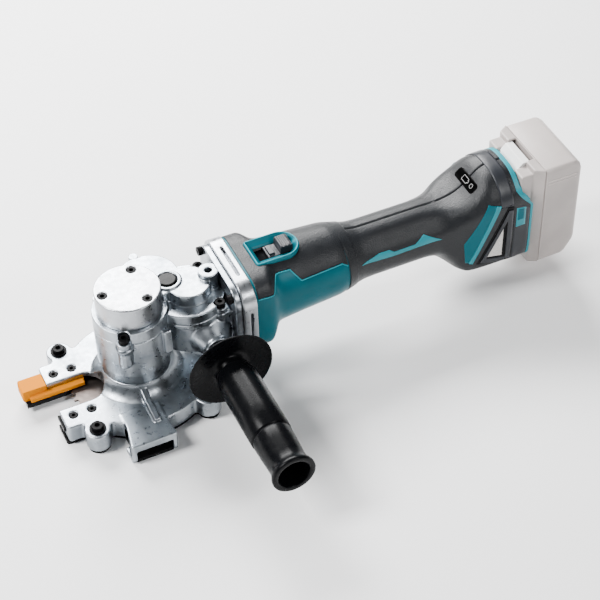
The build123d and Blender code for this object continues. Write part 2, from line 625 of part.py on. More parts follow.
# ================= adapter flange =================
with BuildPart() as adapter_flange:
    with BuildSketch(plane_x(FLANGE_X, ADAPTER_MID)):
        RectangleRounded(2 * ADAPTER_HALF, ADAPTER_Z[1] - ADAPTER_Z[0], ADAPTER_CORNER)
    extrude(amount=ADAPTER_T - FIT)
    disc(plane_x(FLANGE_X - 1, MOTOR_Z), 10, 30, mode=Mode.SUBTRACT)
    disc(plane_x(FLANGE_X - 1, MOTOR_Z), 13 + FIT, 11.2, mode=Mode.SUBTRACT)
    disc(plane_x(FLANGE_X - 5, ADAPTER_MID), 2.2 + FIT, 30, adapter_spots, Mode.SUBTRACT)
    # air slots in the top and the two sides
    block((94, 96.2), (-20, 20), (ADAPTER_Z[1] - 5, 130), Mode.SUBTRACT)
    for side in ((-60, 5 - ADAPTER_HALF), (ADAPTER_HALF - 5, 60)):
        block((94, 96.2), side, (ADAPTER_MID - 20, ADAPTER_MID + 16), Mode.SUBTRACT)
save(adapter_flange, "adapter_flange")

front_face = Plane(origin=(HOUSING_FLANGE_X - FIT, 0, ADAPTER_MID), x_dir=(0, -1, 0), z_dir=(-1, 0, 0))
save(screws(front_face, adapter_spots, 4.2, 4.4, 2.2, 15, 2.0), "adapter_screws")

# ================= motor housing =================
MOTOR_STATIONS = ((COLLAR_END, 44.0), (127, 38.5), (150, 36.6), (190, 34.0), (MOTOR_END, 29.8))


def motor_body(shrink, start, collar_end):
    """Outside of the motor housing, or the same shape a little smaller."""
    with BuildPart() as body:
        with BuildSketch(plane_x(start, ADAPTER_MID)):
            RectangleRounded(
                2 * (ADAPTER_HALF - 1 - shrink),
                ADAPTER_Z[1] - ADAPTER_Z[0] - 2 - 2 * shrink,
                ADAPTER_CORNER - shrink,
            )
        extrude(amount=collar_end - start)
        profile = [(x, MOTOR_Z + r - shrink) for x, r in MOTOR_STATIONS]
        with BuildSketch(Plane.XZ):
            with BuildLine():
                front = ((start, MOTOR_Z), (start, MOTOR_Z + 40 - shrink))
                Polyline(*front, *profile, (MOTOR_END, MOTOR_Z), close=True)
            make_face()
        revolve(axis=Axis((0, 0, MOTOR_Z), (1, 0, 0)))
    return body.part


motor_outer = motor_body(0.0, MOTOR_X, COLLAR_END - 2)
motor_core = motor_body(SKIN, MOTOR_X - 1, COLLAR_END - 2 - SKIN)
BEZEL_X = (113.5, 160.0)
BEZEL_HALF = 17.0
SLOT_X = (119.0, 153.0)
SLOT_HALF = 8.5
TOP_Z = 113.5

with BuildPart(mode=Mode.PRIVATE) as overmold_region:
    with BuildSketch(Plane.XZ):
        with BuildLine():
            Polyline(
                (103, 140), (103, 101), (118, 100), (127, 107), (141, 106), (149, 96), (190, 96),
                (196, 92), (196, 20), (230, 20), (230, 140), close=True,
            )
        make_face()
    extrude(amount=60, both=True)

with BuildPart(mode=Mode.PRIVATE) as bezel_region:
    with BuildSketch(Plane.XY.offset(MOTOR_Z)):
        with Locations(((BEZEL_X[0] + BEZEL_X[1]) / 2, 0)):
            RectangleRounded(BEZEL_X[1] - BEZEL_X[0], 2 * BEZEL_HALF, 5)
    extrude(amount=60)

with BuildPart() as motor_housing:
    add(motor_outer)
    add(overmold_region.part, mode=Mode.SUBTRACT)
    add(motor_core)
    disc(plane_x(MOTOR_X - 5, MOTOR_Z), 28.2, 25, mode=Mode.SUBTRACT)
    disc(plane_x(MOTOR_X, MOTOR_Z), 26 + FIT, 82, mode=Mode.SUBTRACT)
    disc(plane_x(MOTOR_X, MOTOR_Z), 11 + FIT, 96, mode=Mode.SUBTRACT)
    disc(plane_x(MOTOR_X, MOTOR_Z), 8, 120, mode=Mode.SUBTRACT)
    add(bezel_region.part.translate((0, 0, 28)), mode=Mode.SUBTRACT)
    block((MOTOR_X - 2, MOTOR_X), (-60, 60), (0, 140), Mode.SUBTRACT)
    # way for the switch link
    block((116, MOTOR_END + 1), (-2.9, 2.9), (103.6, 106.2), Mode.SUBTRACT)
    block((190, MOTOR_END + 1), (-2.9, 2.9), (96.2, 106.2), Mode.SUBTRACT)
save(motor_housing, "motor_housing")

with BuildPart() as motor_housing_overmold:
    add(motor_outer)
    add(overmold_region.part, mode=Mode.INTERSECT)
    add(motor_core, mode=Mode.SUBTRACT)
    add(bezel_region.part, mode=Mode.SUBTRACT)
save(motor_housing_overmold, "motor_housing_overmold")

# ---- slide switch ----
with BuildPart() as switch_bezel:
    with BuildSketch(Plane.XY.offset(MOTOR_Z + 28.2)):
        with Locations(((BEZEL_X[0] + BEZEL_X[1]) / 2, 0)):
            RectangleRounded(BEZEL_X[1] - BEZEL_X[0] - 2 * FIT, 2 * (BEZEL_HALF - FIT), 5)
    extrude(amount=TOP_Z + 2.5 - MOTOR_Z - 28.2)
    with BuildSketch(Plane.YZ.offset(BEZEL_X[0] - 1)):
        with Locations((0, MOTOR_Z)):
            Circle(38.6)
    extrude(amount=60, mode=Mode.INTERSECT)
    block(SLOT_X, (-SLOT_HALF, SLOT_HALF), (TOP_Z - 6, 130), Mode.SUBTRACT)
    block((SLOT_X[0] + 9, SLOT_X[1] - 2), (-4, 4), (100, 130), Mode.SUBTRACT)
save(switch_bezel, "switch_bezel")

with BuildPart() as switch_slider:
    block((SLOT_X[1] - 13, SLOT_X[1] - 1), (-SLOT_HALF + 0.8, SLOT_HALF - 0.8), (TOP_Z - 5.4, TOP_Z + 4.5))
    fillet(switch_slider.edges().filter_by(Axis.Y).sort_by(Axis.Z)[-2:], 1.6)
    block((SLOT_X[0] + 10, SLOT_X[1] - 13), (-SLOT_HALF + 0.8, SLOT_HALF - 0.8), (TOP_Z - 5.4, TOP_Z - 3.0))
    block((SLOT_X[1] - 14, SLOT_X[1] - 4), (-2.6, 2.6), (105.6, TOP_Z - 5.0))
save(switch_slider, "switch_slider")

# ================= motor stator =================
with BuildPart() as motor_stator:
    disc(plane_x(122, MOTOR_Z), 26, 56)
    disc(plane_x(122, MOTOR_Z), 13.4, 56, mode=Mode.SUBTRACT)
    with BuildSketch(plane_x(122, MOTOR_Z)):
        with PolarLocations(18.5, 6):
            Circle(3.6)
    extrude(amount=56, mode=Mode.SUBTRACT)
save(motor_stator, "motor_stator")

# ================= grip and battery mount =================
GRIP_STATIONS = (
    (MOTOR_END + FIT, 29.5), (214, 27.8), (225, GRIP_R), (280, GRIP_R), (GRIP_END, 28.4), (300, 30.5),
)


def grip_body(shrink):
    """Round grip that runs into the battery block."""
    with BuildPart() as body:
        profile = [(x, MOTOR_Z + r - shrink) for x, r in GRIP_STATIONS]
        with BuildSketch(Plane.XZ):
            with BuildLine():
                Polyline((MOTOR_END + FIT, MOTOR_Z), *profile, (300, MOTOR_Z), close=True)
            make_face()
        revolve(axis=Axis((0, 0, MOTOR_Z), (1, 0, 0)))
    return body.part


BLOCK_SIDE = (
    (288, 52), (300, 42), (314, 33), (324, BLOCK_BOTTOM), (372, BLOCK_BOTTOM), (BLOCK_REAR, 36),
    (BLOCK_REAR, 98), (RAIL_X + 2, 112), (RAIL_X, BLOCK_TOP - 1), (RAIL_X - 3, BLOCK_TOP), (350, BLOCK_TOP),
    (342, 127), (326, 110), (314, 106), (288, 104),
)
BLOCK_PLAN = ((288, 26.5), (304, 29.5), (318, 33.5), (334, BLOCK_HALF), (BLOCK_REAR, BLOCK_HALF))
BLOCK_ARCH = ((BLOCK_HALF, BLOCK_BOTTOM + 8), (BLOCK_HALF, 108), (31, 120), (20, 128), (8, BLOCK_TOP))


def block_body(shrink):
    """Battery block: its side view, plan and end view cut from one another."""
    lower = [(y - shrink, z - shrink) for y, z in BLOCK_ARCH]
    arch = [(30 - shrink, BLOCK_BOTTOM + shrink)] + [(lower[0][0], BLOCK_BOTTOM + 8)] + lower[1:]
    with BuildPart() as body:
        with BuildSketch(Plane.XZ):
            with BuildLine():
                Polyline(*BLOCK_SIDE, close=True)
            make_face()
            if shrink:
                offset(amount=-shrink)
        extrude(amount=60, both=True)
        with BuildSketch(plane_x(280)):
            with BuildLine():
                Polyline(*arch, *[(-y, z) for y, z in reversed(arch)], close=True)
            make_face()
        extrude(amount=120, mode=Mode.INTERSECT)
        plan = [(x, y - shrink) for x, y in BLOCK_PLAN]
        with BuildSketch():
            with BuildLine():
                Polyline(*plan, *[(x, -y) for x, y in reversed(plan)], close=True)
            make_face()
        extrude(amount=150, mode=Mode.INTERSECT)
    return body.part


grip_outer = grip_body(0.0)
block_outer = block_body(0.0)
block_core = block_body(SKIN)
CHANNEL_HALF = 31.0
CHANNEL_Z = 35.5
STRIPE_SKIN = 0.8

# side views of the trim let into the shells
STRIPE = (
    (210, 84.3), (229, 89.4), (239, 89.2), (243, 86.2), (264.5, 86.5), (274.3, 92.3), (291, 83.2),
    (266, 83.0), (240, 82.4),
)
WEDGE = ((335.5, 111), (347.5, 107), (321, 46), (314, 49), (312, 72))
VENT_OUTER = ((355, 104), (361.5, 102), (361.5, 34.5), (325.5, 43.5))
VENT_INNER = ((353.0, 88), (354.3, 42.5), (335.0, 49.5))
RIM = ((378.6, 25), (390, 25), (390, 140), (364.5, 140), (364.5, 116), (367, 111.5), (378.6, 97.5))
WINDOW_PLANE = Plane(origin=(329.5, 0, 117.9), x_dir=(0, -1, 0), z_dir=(-0.6, 0, 0.8))
GRIP_SCREWS = ((214.5, 66), (262, 68))
BLOCK_SCREWS = ((318, 60), (350, 114))


def prism(points, depth=60.0):
    """Side-view outline carried right across the tool."""
    with BuildPart() as region:
        with BuildSketch(Plane.XZ):
            with BuildLine():
                Polyline(*points, close=True)
            make_face()
        extrude(amount=depth, both=True)
    return region.part


def skin(outer, core, points, hole=None):
    """Layer of a body between its outside and its core, within one side-view outline."""
    with BuildPart() as layer:
        add(outer)
        add(prism(points), mode=Mode.INTERSECT)
        if hole:
            add(prism(hole), mode=Mode.SUBTRACT)
        add(core, mode=Mode.SUBTRACT)
    return layer


with BuildPart() as handle_space:
    add(grip_body(3.2))
    add(block_body(3.0))
    block((200, 364), (-60, 60), (0, 140), Mode.INTERSECT)

with BuildPart() as window_recess:
    with BuildSketch(WINDOW_PLANE.offset(2)):
        RectangleRounded(33, 9.4, 3)
    extrude(amount=-3.2)

for side_name, keep in (("left", Keep.TOP), ("right", Keep.BOTTOM)):
    with BuildPart() as shell:
        add(grip_outer)
        add(prism(STRIPE), mode=Mode.SUBTRACT)
        add(grip_body(STRIPE_SKIN))
        add(block_outer)
        for trim in (WEDGE, VENT_OUTER, RIM):
            add(prism(trim), mode=Mode.SUBTRACT)
        add(block_core)
        add(handle_space.part, mode=Mode.SUBTRACT)
        add(window_recess.part, mode=Mode.SUBTRACT)
        # screw posts
        for x, z in GRIP_SCREWS:
            disc(plane_y(-22.5, 1), 4.6, 45, ((-x, z),))
        for x, z in BLOCK_SCREWS:
            disc(plane_y(-30, 1), 5, 60, ((-x, z),))
        for x, z in GRIP_SCREWS + BLOCK_SCREWS:
            disc(plane_y(-16, 1), 2 + FIT, 80, ((-x, z),), Mode.SUBTRACT)
            disc(plane_y(19.5, 1), 4.3, 40, ((-x, z),), Mode.SUBTRACT)
        # battery channel, open at the top and the back, and the seat of the terminal block
        block((RAIL_X, 400), (-CHANNEL_HALF, CHANNEL_HALF), (CHANNEL_Z, 140), Mode.SUBTRACT)
        block((360, 372), (-16 - FIT, 16 + FIT), (52 - FIT, 92 + FIT), Mode.SUBTRACT)
        split(bisect_by=Plane.XZ, keep=keep)
    save(shell, f"handle_shell_{side_name}")

handle_spots = tuple((-x, z) for x, z in GRIP_SCREWS + BLOCK_SCREWS)
save(screws(plane_y(19.6, 1), handle_spots, 3.9, 2.8, 2.0, 34, 1.9), "handle_screws")
save(skin(grip_outer, grip_body(STRIPE_SKIN), STRIPE), "accent_stripes")
save(skin(block_outer, block_core, WEDGE), "side_wedges")
save(skin(block_outer, block_core, VENT_OUTER, VENT_INNER), "vent_frames")

with BuildPart() as vent_filters:
    add(block_body(0.9))
    add(prism(VENT_INNER), mode=Mode.INTERSECT)
    add(block_core, mode=Mode.SUBTRACT)
save(vent_filters, "vent_filters")

with BuildPart() as battery_rim:
    add(block_outer)
    add(prism(RIM), mode=Mode.INTERSECT)
    add(block_core, mode=Mode.SUBTRACT)
    block((RAIL_X, 400), (-CHANNEL_HALF, CHANNEL_HALF), (CHANNEL_Z, 140), Mode.SUBTRACT)
save(battery_rim, "battery_rim")

with BuildPart() as indicator_window:
    with BuildSketch(WINDOW_PLANE.offset(0.2)):
        RectangleRounded(32.6, 9.0, 3)
    extrude(amount=-1.2)
save(indicator_window, "indicator_window")

# ---- electrical parts ----
with BuildPart() as switch_link:
    with BuildSketch(Plane.XZ):
        with BuildLine():
            Polyline(
                (141, 104.2), (199, 104.2), (205, 97), (223, 97), (223, 98.3), (205.6, 98.3),
                (199.6, 105.5), (141, 105.5), close=True,
            )
        make_face()
    extrude(amount=2.2, both=True)
save(switch_link, "switch_link")

with BuildPart() as switch_unit:
    block((226, 252), (-9, 9), (80, 97))
    block((229, 236), (-3, 3), (96, 99.5))
    block((252, 256), (-6, 6), (82, 94))
save(switch_unit, "switch_unit")

with BuildPart() as controller_board:
    block((346, 348), (-24, 24), (44, 96))
    block((338, 346), (-20, 20), (50, 78))
    for y in (-18, -6, 6, 18):
        block((348, 354), (y - 4, y + 4), (56, 68))
save(controller_board, "controller_board")

with BuildPart() as terminal_block:
    block((361, RAIL_X + 0.2), (-16, 16), (52, 92))
    for y in (-9, 0, 9):
        block((RAIL_X, 376.5), (y - 0.6, y + 0.6), (60, 84))
save(terminal_block, "terminal_block")

# ================= battery =================
BATTERY_SPLIT = 392.0
HEAD_X = 370.4
POCKET_END = BATTERY_SPLIT - 0.4
CELL_R = 9.05

with BuildPart() as battery_case:
    block((BATTERY_SPLIT, BATTERY_X[1]), (-BATTERY_HALF, BATTERY_HALF), BATTERY_Z)
    chamfer(battery_case.faces().sort_by(Axis.X)[-1].edges(), 3.5)
    block((380, 428.4), (-35, 35), (23.2, 130.9), Mode.SUBTRACT)
save(battery_case, "battery_case")

with BuildPart() as battery_cover:
    with BuildSketch(Plane.XY.offset(BATTERY_Z[0])):
        with BuildLine():
            Polyline(
                (BATTERY_X[0], -31.5),
                (BATTERY_SPLIT - FIT, -BATTERY_HALF),
                (BATTERY_SPLIT - FIT, BATTERY_HALF),
                (BATTERY_X[0], 31.5), close=True,
            )
        make_face()
    extrude(amount=BATTERY_Z[1] - BATTERY_Z[0])
    block((386, 400), (-33, 33), (23.2, 130.9), Mode.SUBTRACT)
    block((HEAD_X, BATTERY_X[0] + 0.01), (-30.4, 30.4), (CHANNEL_Z + GAP, 128))
    block((374, BATTERY_X[0] + 6), (-27, 27), (CHANNEL_Z + 4, 108), Mode.SUBTRACT)
    for y in (-9, 0, 9):
        block((HEAD_X - 1, 378), (y - 1.2, y + 1.2), (30, 90), Mode.SUBTRACT)
    # pocket of the release button, with its floor and end wall
    block((360, BATTERY_SPLIT), (-LATCH_HALF - GAP, LATCH_HALF + GAP), (LATCH_Z - 0.6, 140), Mode.SUBTRACT)
    block((386, POCKET_END), (-LATCH_HALF - 2, LATCH_HALF + 2), (LATCH_Z - 2.6, LATCH_Z - 0.6))
    block((POCKET_END - 0.7, POCKET_END), (-LATCH_HALF - 2, LATCH_HALF + 2), (LATCH_Z - 2.6, BATTERY_Z[1]))
save(battery_cover, "battery_cover")

with BuildPart() as battery_cells:
    with BuildSketch(plane_y(33, 1)):
        with Locations((-409.95, 77.0)):
            with GridLocations(18.3, 19.2, 2, 5):
                Circle(CELL_R)
    extrude(amount=-66)
save(battery_cells, "battery_cells")

with BuildPart() as battery_terminals:
    for y in (-9, 0, 9):
        block((374.5, 379), (y - 2.5, y + 2.5), (92, 100))
    block((379, 380.5), (-20, 20), (60, 104))
save(battery_terminals, "battery_terminals")

with BuildPart() as battery_latch:
    with BuildSketch(Plane.XZ):
        with BuildLine():
            Polyline(
                (372, LATCH_Z), (386.5, LATCH_Z), (386.5, 131.5), (379.5, 131.5), (372, 124), close=True,
            )
        make_face()
    extrude(amount=LATCH_HALF, both=True)
save(battery_latch, "battery_latch")

# ================= side handle =================
handle_plane = Plane(origin=(HANDLE_X, 0, HANDLE_Z), x_dir=(1, 0, 0), z_dir=(0, 0, 1))
handle_axis = Axis((HANDLE_X, 0, HANDLE_Z), (0, 1, 0))
handle_spot = ((HANDLE_X, HANDLE_Z),)
GUARD_HUB_Y = -HANDLE_BOSS_Y - FIT


def turned(points):
    """Piece of the side handle turned from half its section: radius, then place along Y."""
    with BuildSketch(handle_plane) as section:
        with BuildLine():
            Polyline(*points, close=True)
        make_face()
    revolve(section.sketch, axis=handle_axis)


with BuildPart() as side_handle_bolt:
    disc(plane_y(-25, -1), 4, 70, handle_spot)
save(side_handle_bolt, "side_handle_bolt")

with BuildPart() as side_handle_guard:
    turned((
        (4.1, GUARD_HUB_Y), (11.5, GUARD_HUB_Y), (11.5, -53), (9.8, -54), (9.8, -63), (13, -66), (22, -66.5),
        (34, -68), (GUARD_R - 0.8, -70), (GUARD_R, -71),
        (GUARD_R - 0.4, GUARD_RIM_Y), (GUARD_R - 1.6, GUARD_RIM_Y),
        (33, -70.5), (20, -69.3), (15, -71), (13.5, -75.9), (4.1, -75.9),
    ))
save(side_handle_guard, "side_handle_guard")

with BuildPart() as side_handle_grip:
    turned((
        (4.1, -76), (14.2, -76), (16.2, -78.5), (17.6, -84), (18.3, -100), (18.4, -130), (18.3, -155.6),
        (17.2, -156.4), (17.2, -157.6), (17.8, -158.4), (17.0, -180),
        (16.6, -190), (17.6, -194.5), (19.5, -197.6),
        (19.5, -200.6), (18.8, GRIP_TIP), (14.0, GRIP_TIP), (12.6, -184), (12.2, -104), (4.1, -100),
    ))
save(side_handle_grip, "side_handle_grip")
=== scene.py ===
import json
import math

import bmesh
import bpy
import numpy as np
from mathutils import Matrix, Vector

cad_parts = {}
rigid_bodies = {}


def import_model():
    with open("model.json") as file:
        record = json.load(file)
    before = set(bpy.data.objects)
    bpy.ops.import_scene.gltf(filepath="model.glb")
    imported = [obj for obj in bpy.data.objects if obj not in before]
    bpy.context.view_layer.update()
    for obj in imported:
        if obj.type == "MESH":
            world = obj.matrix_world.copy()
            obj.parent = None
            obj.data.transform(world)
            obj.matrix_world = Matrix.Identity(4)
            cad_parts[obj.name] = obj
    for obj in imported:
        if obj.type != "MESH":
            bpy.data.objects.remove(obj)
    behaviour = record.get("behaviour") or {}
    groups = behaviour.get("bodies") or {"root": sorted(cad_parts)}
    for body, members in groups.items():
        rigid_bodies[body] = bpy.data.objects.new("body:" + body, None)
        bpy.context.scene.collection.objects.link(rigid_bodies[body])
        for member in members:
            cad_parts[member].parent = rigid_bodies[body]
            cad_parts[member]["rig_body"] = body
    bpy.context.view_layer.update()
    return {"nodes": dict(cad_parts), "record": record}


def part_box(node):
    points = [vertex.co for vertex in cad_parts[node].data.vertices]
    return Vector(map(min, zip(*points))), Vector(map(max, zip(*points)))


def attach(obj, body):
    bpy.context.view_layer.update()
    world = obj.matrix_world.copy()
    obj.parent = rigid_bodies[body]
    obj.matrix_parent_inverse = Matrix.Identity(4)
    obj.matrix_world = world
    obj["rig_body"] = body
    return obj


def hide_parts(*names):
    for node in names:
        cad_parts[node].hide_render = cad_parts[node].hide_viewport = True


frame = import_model()

MM = 0.001

# ---------------------------------------------------------------- sizes read from the frame


def middle(node):
    """Centre of a CAD node's box."""
    low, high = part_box(node)
    return (low + high) / 2


MOTOR_Z = middle("rotor_shaft").z / MM
COLLAR_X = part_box("motor_housing")[0].x / MM
GRIP_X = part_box("handle_shell_left")[0].x / MM
HANDLE = middle("side_handle_bolt") / MM

# ---------------------------------------------------------------- material nodes


class Shader:
    """A Principled material and the few node chains that every finish here is made from."""

    def __init__(self, name, roughness, metallic=0.0, **inputs):
        self.material = bpy.data.materials.new(name)
        self.material.use_nodes = True
        self.tree = self.material.node_tree
        self.surface = self.tree.nodes["Principled BSDF"]
        self.surface.inputs["Roughness"].default_value = roughness
        self.surface.inputs["Metallic"].default_value = metallic
        for socket, value in inputs.items():
            self.surface.inputs[socket.replace("_", " ")].default_value = value
        self.place = self.add("ShaderNodeTexCoord").outputs["Object"]

    def add(self, kind, **settings):
        node = self.tree.nodes.new(kind)
        for key, value in settings.items():
            setattr(node, key, value)
        return node

    def join(self, source, target):
        self.tree.links.new(source, target)

    def noise(self, scale, detail=3.0, stretch=None):
        """Noise of about 1/scale metres, drawn out along an axis where stretch is given."""
        node = self.add("ShaderNodeTexNoise")
        node.inputs["Scale"].default_value = scale
        node.inputs["Detail"].default_value = detail
        place = self.place
        if stretch:
            mapping = self.add("ShaderNodeMapping")
            mapping.inputs["Scale"].default_value = stretch
            self.join(place, mapping.inputs["Vector"])
            place = mapping.outputs["Vector"]
        self.join(place, node.inputs["Vector"])
        return node.outputs["Fac"]

    def cells(self, scale):
        node = self.add("ShaderNodeTexVoronoi", feature="F1")
        node.inputs["Scale"].default_value = scale
        self.join(self.place, node.inputs["Vector"])
        return node.outputs["Distance"]

    def ramp(self, value, low, high, start, end):
        """Carries value from low..high to start..end, held at the ends."""
        node = self.add("ShaderNodeMapRange")
        for key, number in (("From Min", low), ("From Max", high), ("To Min", start), ("To Max", end)):
            node.inputs[key].default_value = number
        self.join(value, node.inputs["Value"])
        return node.outputs["Result"]

    def mix(self, factor, first, second):
        """Colour between first and second, each a colour or a socket."""
        node = self.add("ShaderNodeMix", data_type="RGBA")
        self.join(factor, node.inputs["Factor"])
        for name, value in (("A_Color", first), ("B_Color", second)):
            socket = next(each for each in node.inputs if each.identifier == name)
            if isinstance(value, bpy.types.NodeSocket):
                self.join(value, socket)
            else:
                socket.default_value = (*value, 1.0)
        return next(each for each in node.outputs if each.identifier == "Result_Color")

    def edge(self, low, high):
        """0 on flats to 1 on worn outside edges."""
        return self.ramp(self.add("ShaderNodeNewGeometry").outputs["Pointiness"], low, high, 0.0, 1.0)

    def colour(self, socket):
        self.join(socket, self.surface.inputs["Base Color"])

    def rough(self, socket):
        self.join(socket, self.surface.inputs["Roughness"])

    def bump(self, height, distance, strength=1.0):
        node = self.add("ShaderNodeBump")
        node.inputs["Distance"].default_value = distance
        node.inputs["Strength"].default_value = strength
        self.join(height, node.inputs["Height"])
        previous = self.surface.inputs["Normal"]
        if previous.is_linked:
            self.join(previous.links[0].from_socket, node.inputs["Normal"])
        self.join(node.outputs["Normal"], previous)


def cast_metal(name, light, dark, roughness, grain):
    """Die-cast or machined metal: cloudy tone, brighter worn edges, the hollows left at the darker tone as
    painted shade, fine grain.
    """
    finish = Shader(name, roughness, metallic=1.0)
    clouds = finish.ramp(finish.noise(38.0, 4.0), 0.35, 0.7, 0.0, 1.0)
    tone = finish.mix(clouds, dark, light)
    brighter = tuple(min(1.0, c * 1.25) for c in light)
    # Worn edges lightened by pointiness; flats and hollows keep the darker tone, which stands as painted
    # shade in the hollows.
    finish.colour(finish.mix(finish.edge(0.51, 0.58), tone, brighter))
    finish.rough(finish.ramp(finish.noise(240.0, 5.0), 0.3, 0.7, roughness - 0.05, roughness + 0.09))
    finish.bump(finish.noise(900.0, 2.0), grain)
    finish.bump(finish.noise(120.0, 3.0), grain * 1.5, 0.6)
    return finish.material


def turned_metal(name, light, dark, roughness, stretch):
    """Ground or turned steel: fine lines drawn out along one direction."""
    finish = Shader(name, roughness, metallic=1.0)
    scratches = finish.noise(500.0, 3.0, stretch)
    finish.colour(finish.mix(finish.ramp(scratches, 0.3, 0.7, 0.0, 1.0), dark, light))
    finish.rough(finish.ramp(scratches, 0.3, 0.7, roughness - 0.05, roughness + 0.08))
    finish.bump(scratches, 0.00003)
    return finish.material


def coated_metal(name, base, worn, roughness, shine):
    """Black oxide or paint on steel, rubbed through a little along its edges."""
    finish = Shader(name, roughness, Specular_IOR_Level=shine)
    patches = finish.ramp(finish.noise(700.0, 4.0), 0.4, 0.65, 0.0, 1.0)
    rubbed = finish.add("ShaderNodeMath", operation="MULTIPLY")
    finish.join(finish.edge(0.53, 0.62), rubbed.inputs[0])
    finish.join(patches, rubbed.inputs[1])
    finish.colour(finish.mix(rubbed.outputs[0], base, worn))
    finish.rough(finish.ramp(finish.noise(400.0), 0.3, 0.7, roughness - 0.08, roughness + 0.1))
    finish.bump(finish.noise(1500.0, 2.0), 0.00003)
    return finish.material


def moulded(name, base, roughness, grain_size, grain, shine=0.5):
    """Moulded plastic or rubber: slight tone change, lighter rubbed edges, etched grain."""
    finish = Shader(name, roughness, Specular_IOR_Level=shine)
    deep = tuple(c * 0.82 for c in base)
    rubbed = tuple(min(1.0, c * 1.35 + 0.006) for c in base)
    tone = finish.mix(finish.ramp(finish.noise(30.0, 4.0), 0.35, 0.7, 0.0, 1.0), deep, base)
    finish.colour(finish.mix(finish.edge(0.52, 0.6), tone, rubbed))
    finish.rough(finish.ramp(finish.noise(160.0, 3.0), 0.3, 0.7, roughness - 0.03, roughness + 0.05))
    finish.bump(finish.cells(1.0 / grain_size), grain)
    return finish.material


def woven(name, base, thread):
    """Fine filter mesh."""
    finish = Shader(name, 0.75)
    shadow = tuple(c * 0.7 for c in base)
    finish.colour(finish.mix(finish.ramp(finish.cells(1.0 / thread), 0.2, 0.7, 0.0, 1.0), shadow, base))
    finish.rough(finish.ramp(finish.noise(300.0), 0.3, 0.7, 0.65, 0.85))
    finish.bump(finish.cells(1.0 / thread), 0.0002)
    return finish.material


MATERIALS = {
    "cast_aluminium": cast_metal("cast_aluminium", (0.40, 0.43, 0.46), (0.22, 0.245, 0.27), 0.30, 0.00002),
    "machined_aluminium": cast_metal(
        "machined_aluminium", (0.44, 0.455, 0.475), (0.33, 0.345, 0.365), 0.30, 0.00002,
    ),
    "black_steel": coated_metal("black_steel", (0.003, 0.003, 0.0035), (0.010, 0.010, 0.010), 0.34, 0.04),
    "steel": turned_metal("steel", (0.56, 0.56, 0.57), (0.38, 0.38, 0.39), 0.25, (1.0, 1.0, 8.0)),
    "blade_steel": cast_metal("blade_steel", (0.070, 0.058, 0.053), (0.034, 0.029, 0.027), 0.46, 0.00002),
    "guide_orange": coated_metal("guide_orange", (0.64, 0.20, 0.0), (0.70, 0.26, 0.0), 0.55, 0.02),
    "housing_teal": moulded("housing_teal", (0.0, 0.105, 0.135), 0.36, 0.0007, 0.00002, shine=0.12),
    "accent_teal": moulded("accent_teal", (0.002, 0.245, 0.300), 0.34, 0.0007, 0.00002, shine=0.30),
    "grip_rubber": moulded("grip_rubber", (0.0070, 0.0082, 0.0102), 0.42, 0.0012, 0.00018, shine=0.32),
    "black_rubber": moulded("black_rubber", (0.002, 0.002, 0.0024), 0.26, 0.0016, 0.000006, shine=0.08),
    "black_plastic": moulded("black_plastic", (0.002, 0.0022, 0.0028), 0.28, 0.0011, 0.00002, shine=0.07),
    "dark_plastic": moulded("dark_plastic", (0.020, 0.022, 0.027), 0.36, 0.0008, 0.00003, shine=0.30),
    "window_black": moulded("window_black", (0.0006, 0.0006, 0.0006), 0.20, 0.0008, 0.000005, shine=0.03),
    "filter_mesh": woven("filter_mesh", (0.70, 0.67, 0.64), 0.0009),
    "battery_grey": moulded("battery_grey", (0.44, 0.395, 0.375), 0.38, 0.0008, 0.00004, shine=0.40),
    "battery_white": moulded("battery_white", (0.86, 0.86, 0.85), 0.34, 0.0008, 0.00002),
    "cell_wrap": moulded("cell_wrap", (0.08, 0.26, 0.17), 0.30, 0.0010, 0.00001),
    "copper": turned_metal("copper", (0.80, 0.52, 0.36), (0.60, 0.36, 0.24), 0.28, (1.0, 8.0, 1.0)),
    "board_green": moulded("board_green", (0.012, 0.14, 0.06), 0.45, 0.0010, 0.00002),
    "stator_iron": turned_metal(
        "stator_iron", (0.34, 0.33, 0.32), (0.20, 0.19, 0.19), 0.45, (30.0, 1.0, 1.0),
    ),
}

# every CAD node shows the finish of its slot in the record, in this script's materials
node_slots = {row["node"]: row["material_slot"] for row in frame["record"]["subparts"]}
for node, piece in frame["nodes"].items():
    piece.data.materials.clear()
    piece.data.materials.append(MATERIALS[node_slots[node]])

# ---------------------------------------------------------------- mesh tools


def finish_piece(name, mesh, nodes=(), body="tool_body", slot=None):
    """Puts a finished mesh in the scene for the CAD nodes it stands for, with their finish."""
    if nodes:
        body = frame["nodes"][nodes[0]]["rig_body"]
        slot = slot or node_slots[nodes[0]]
    mesh.materials.clear()
    mesh.materials.append(MATERIALS[slot])
    mesh.polygons.foreach_set("use_smooth", [True] * len(mesh.polygons))
    mesh.polygons.foreach_set("material_index", [0] * len(mesh.polygons))
    piece = bpy.data.objects.new(name, mesh)
    bpy.context.scene.collection.objects.link(piece)
    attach(piece, body)
    if nodes:
        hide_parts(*nodes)
    return piece


def with_modifiers(mesh, *modifiers):
    """The mesh after modifiers, each (kind, settings)."""
    holder = bpy.data.objects.new("holder", mesh)
    bpy.context.scene.collection.objects.link(holder)
    for kind, settings in modifiers:
        modifier = holder.modifiers.new(kind, kind)
        for key, value in settings.items():
            setattr(modifier, key, value)
    graph = bpy.context.evaluated_depsgraph_get()
    made = bpy.data.meshes.new_from_object(holder.evaluated_get(graph))
    bpy.data.objects.remove(holder)
    return made


def to_mesh(bm, name):
    bmesh.ops.recalc_face_normals(bm, faces=bm.faces)
    mesh = bpy.data.meshes.new(name)
    bm.to_mesh(mesh)
    bm.free()
    return mesh


SEAM_GAP = 1e-6


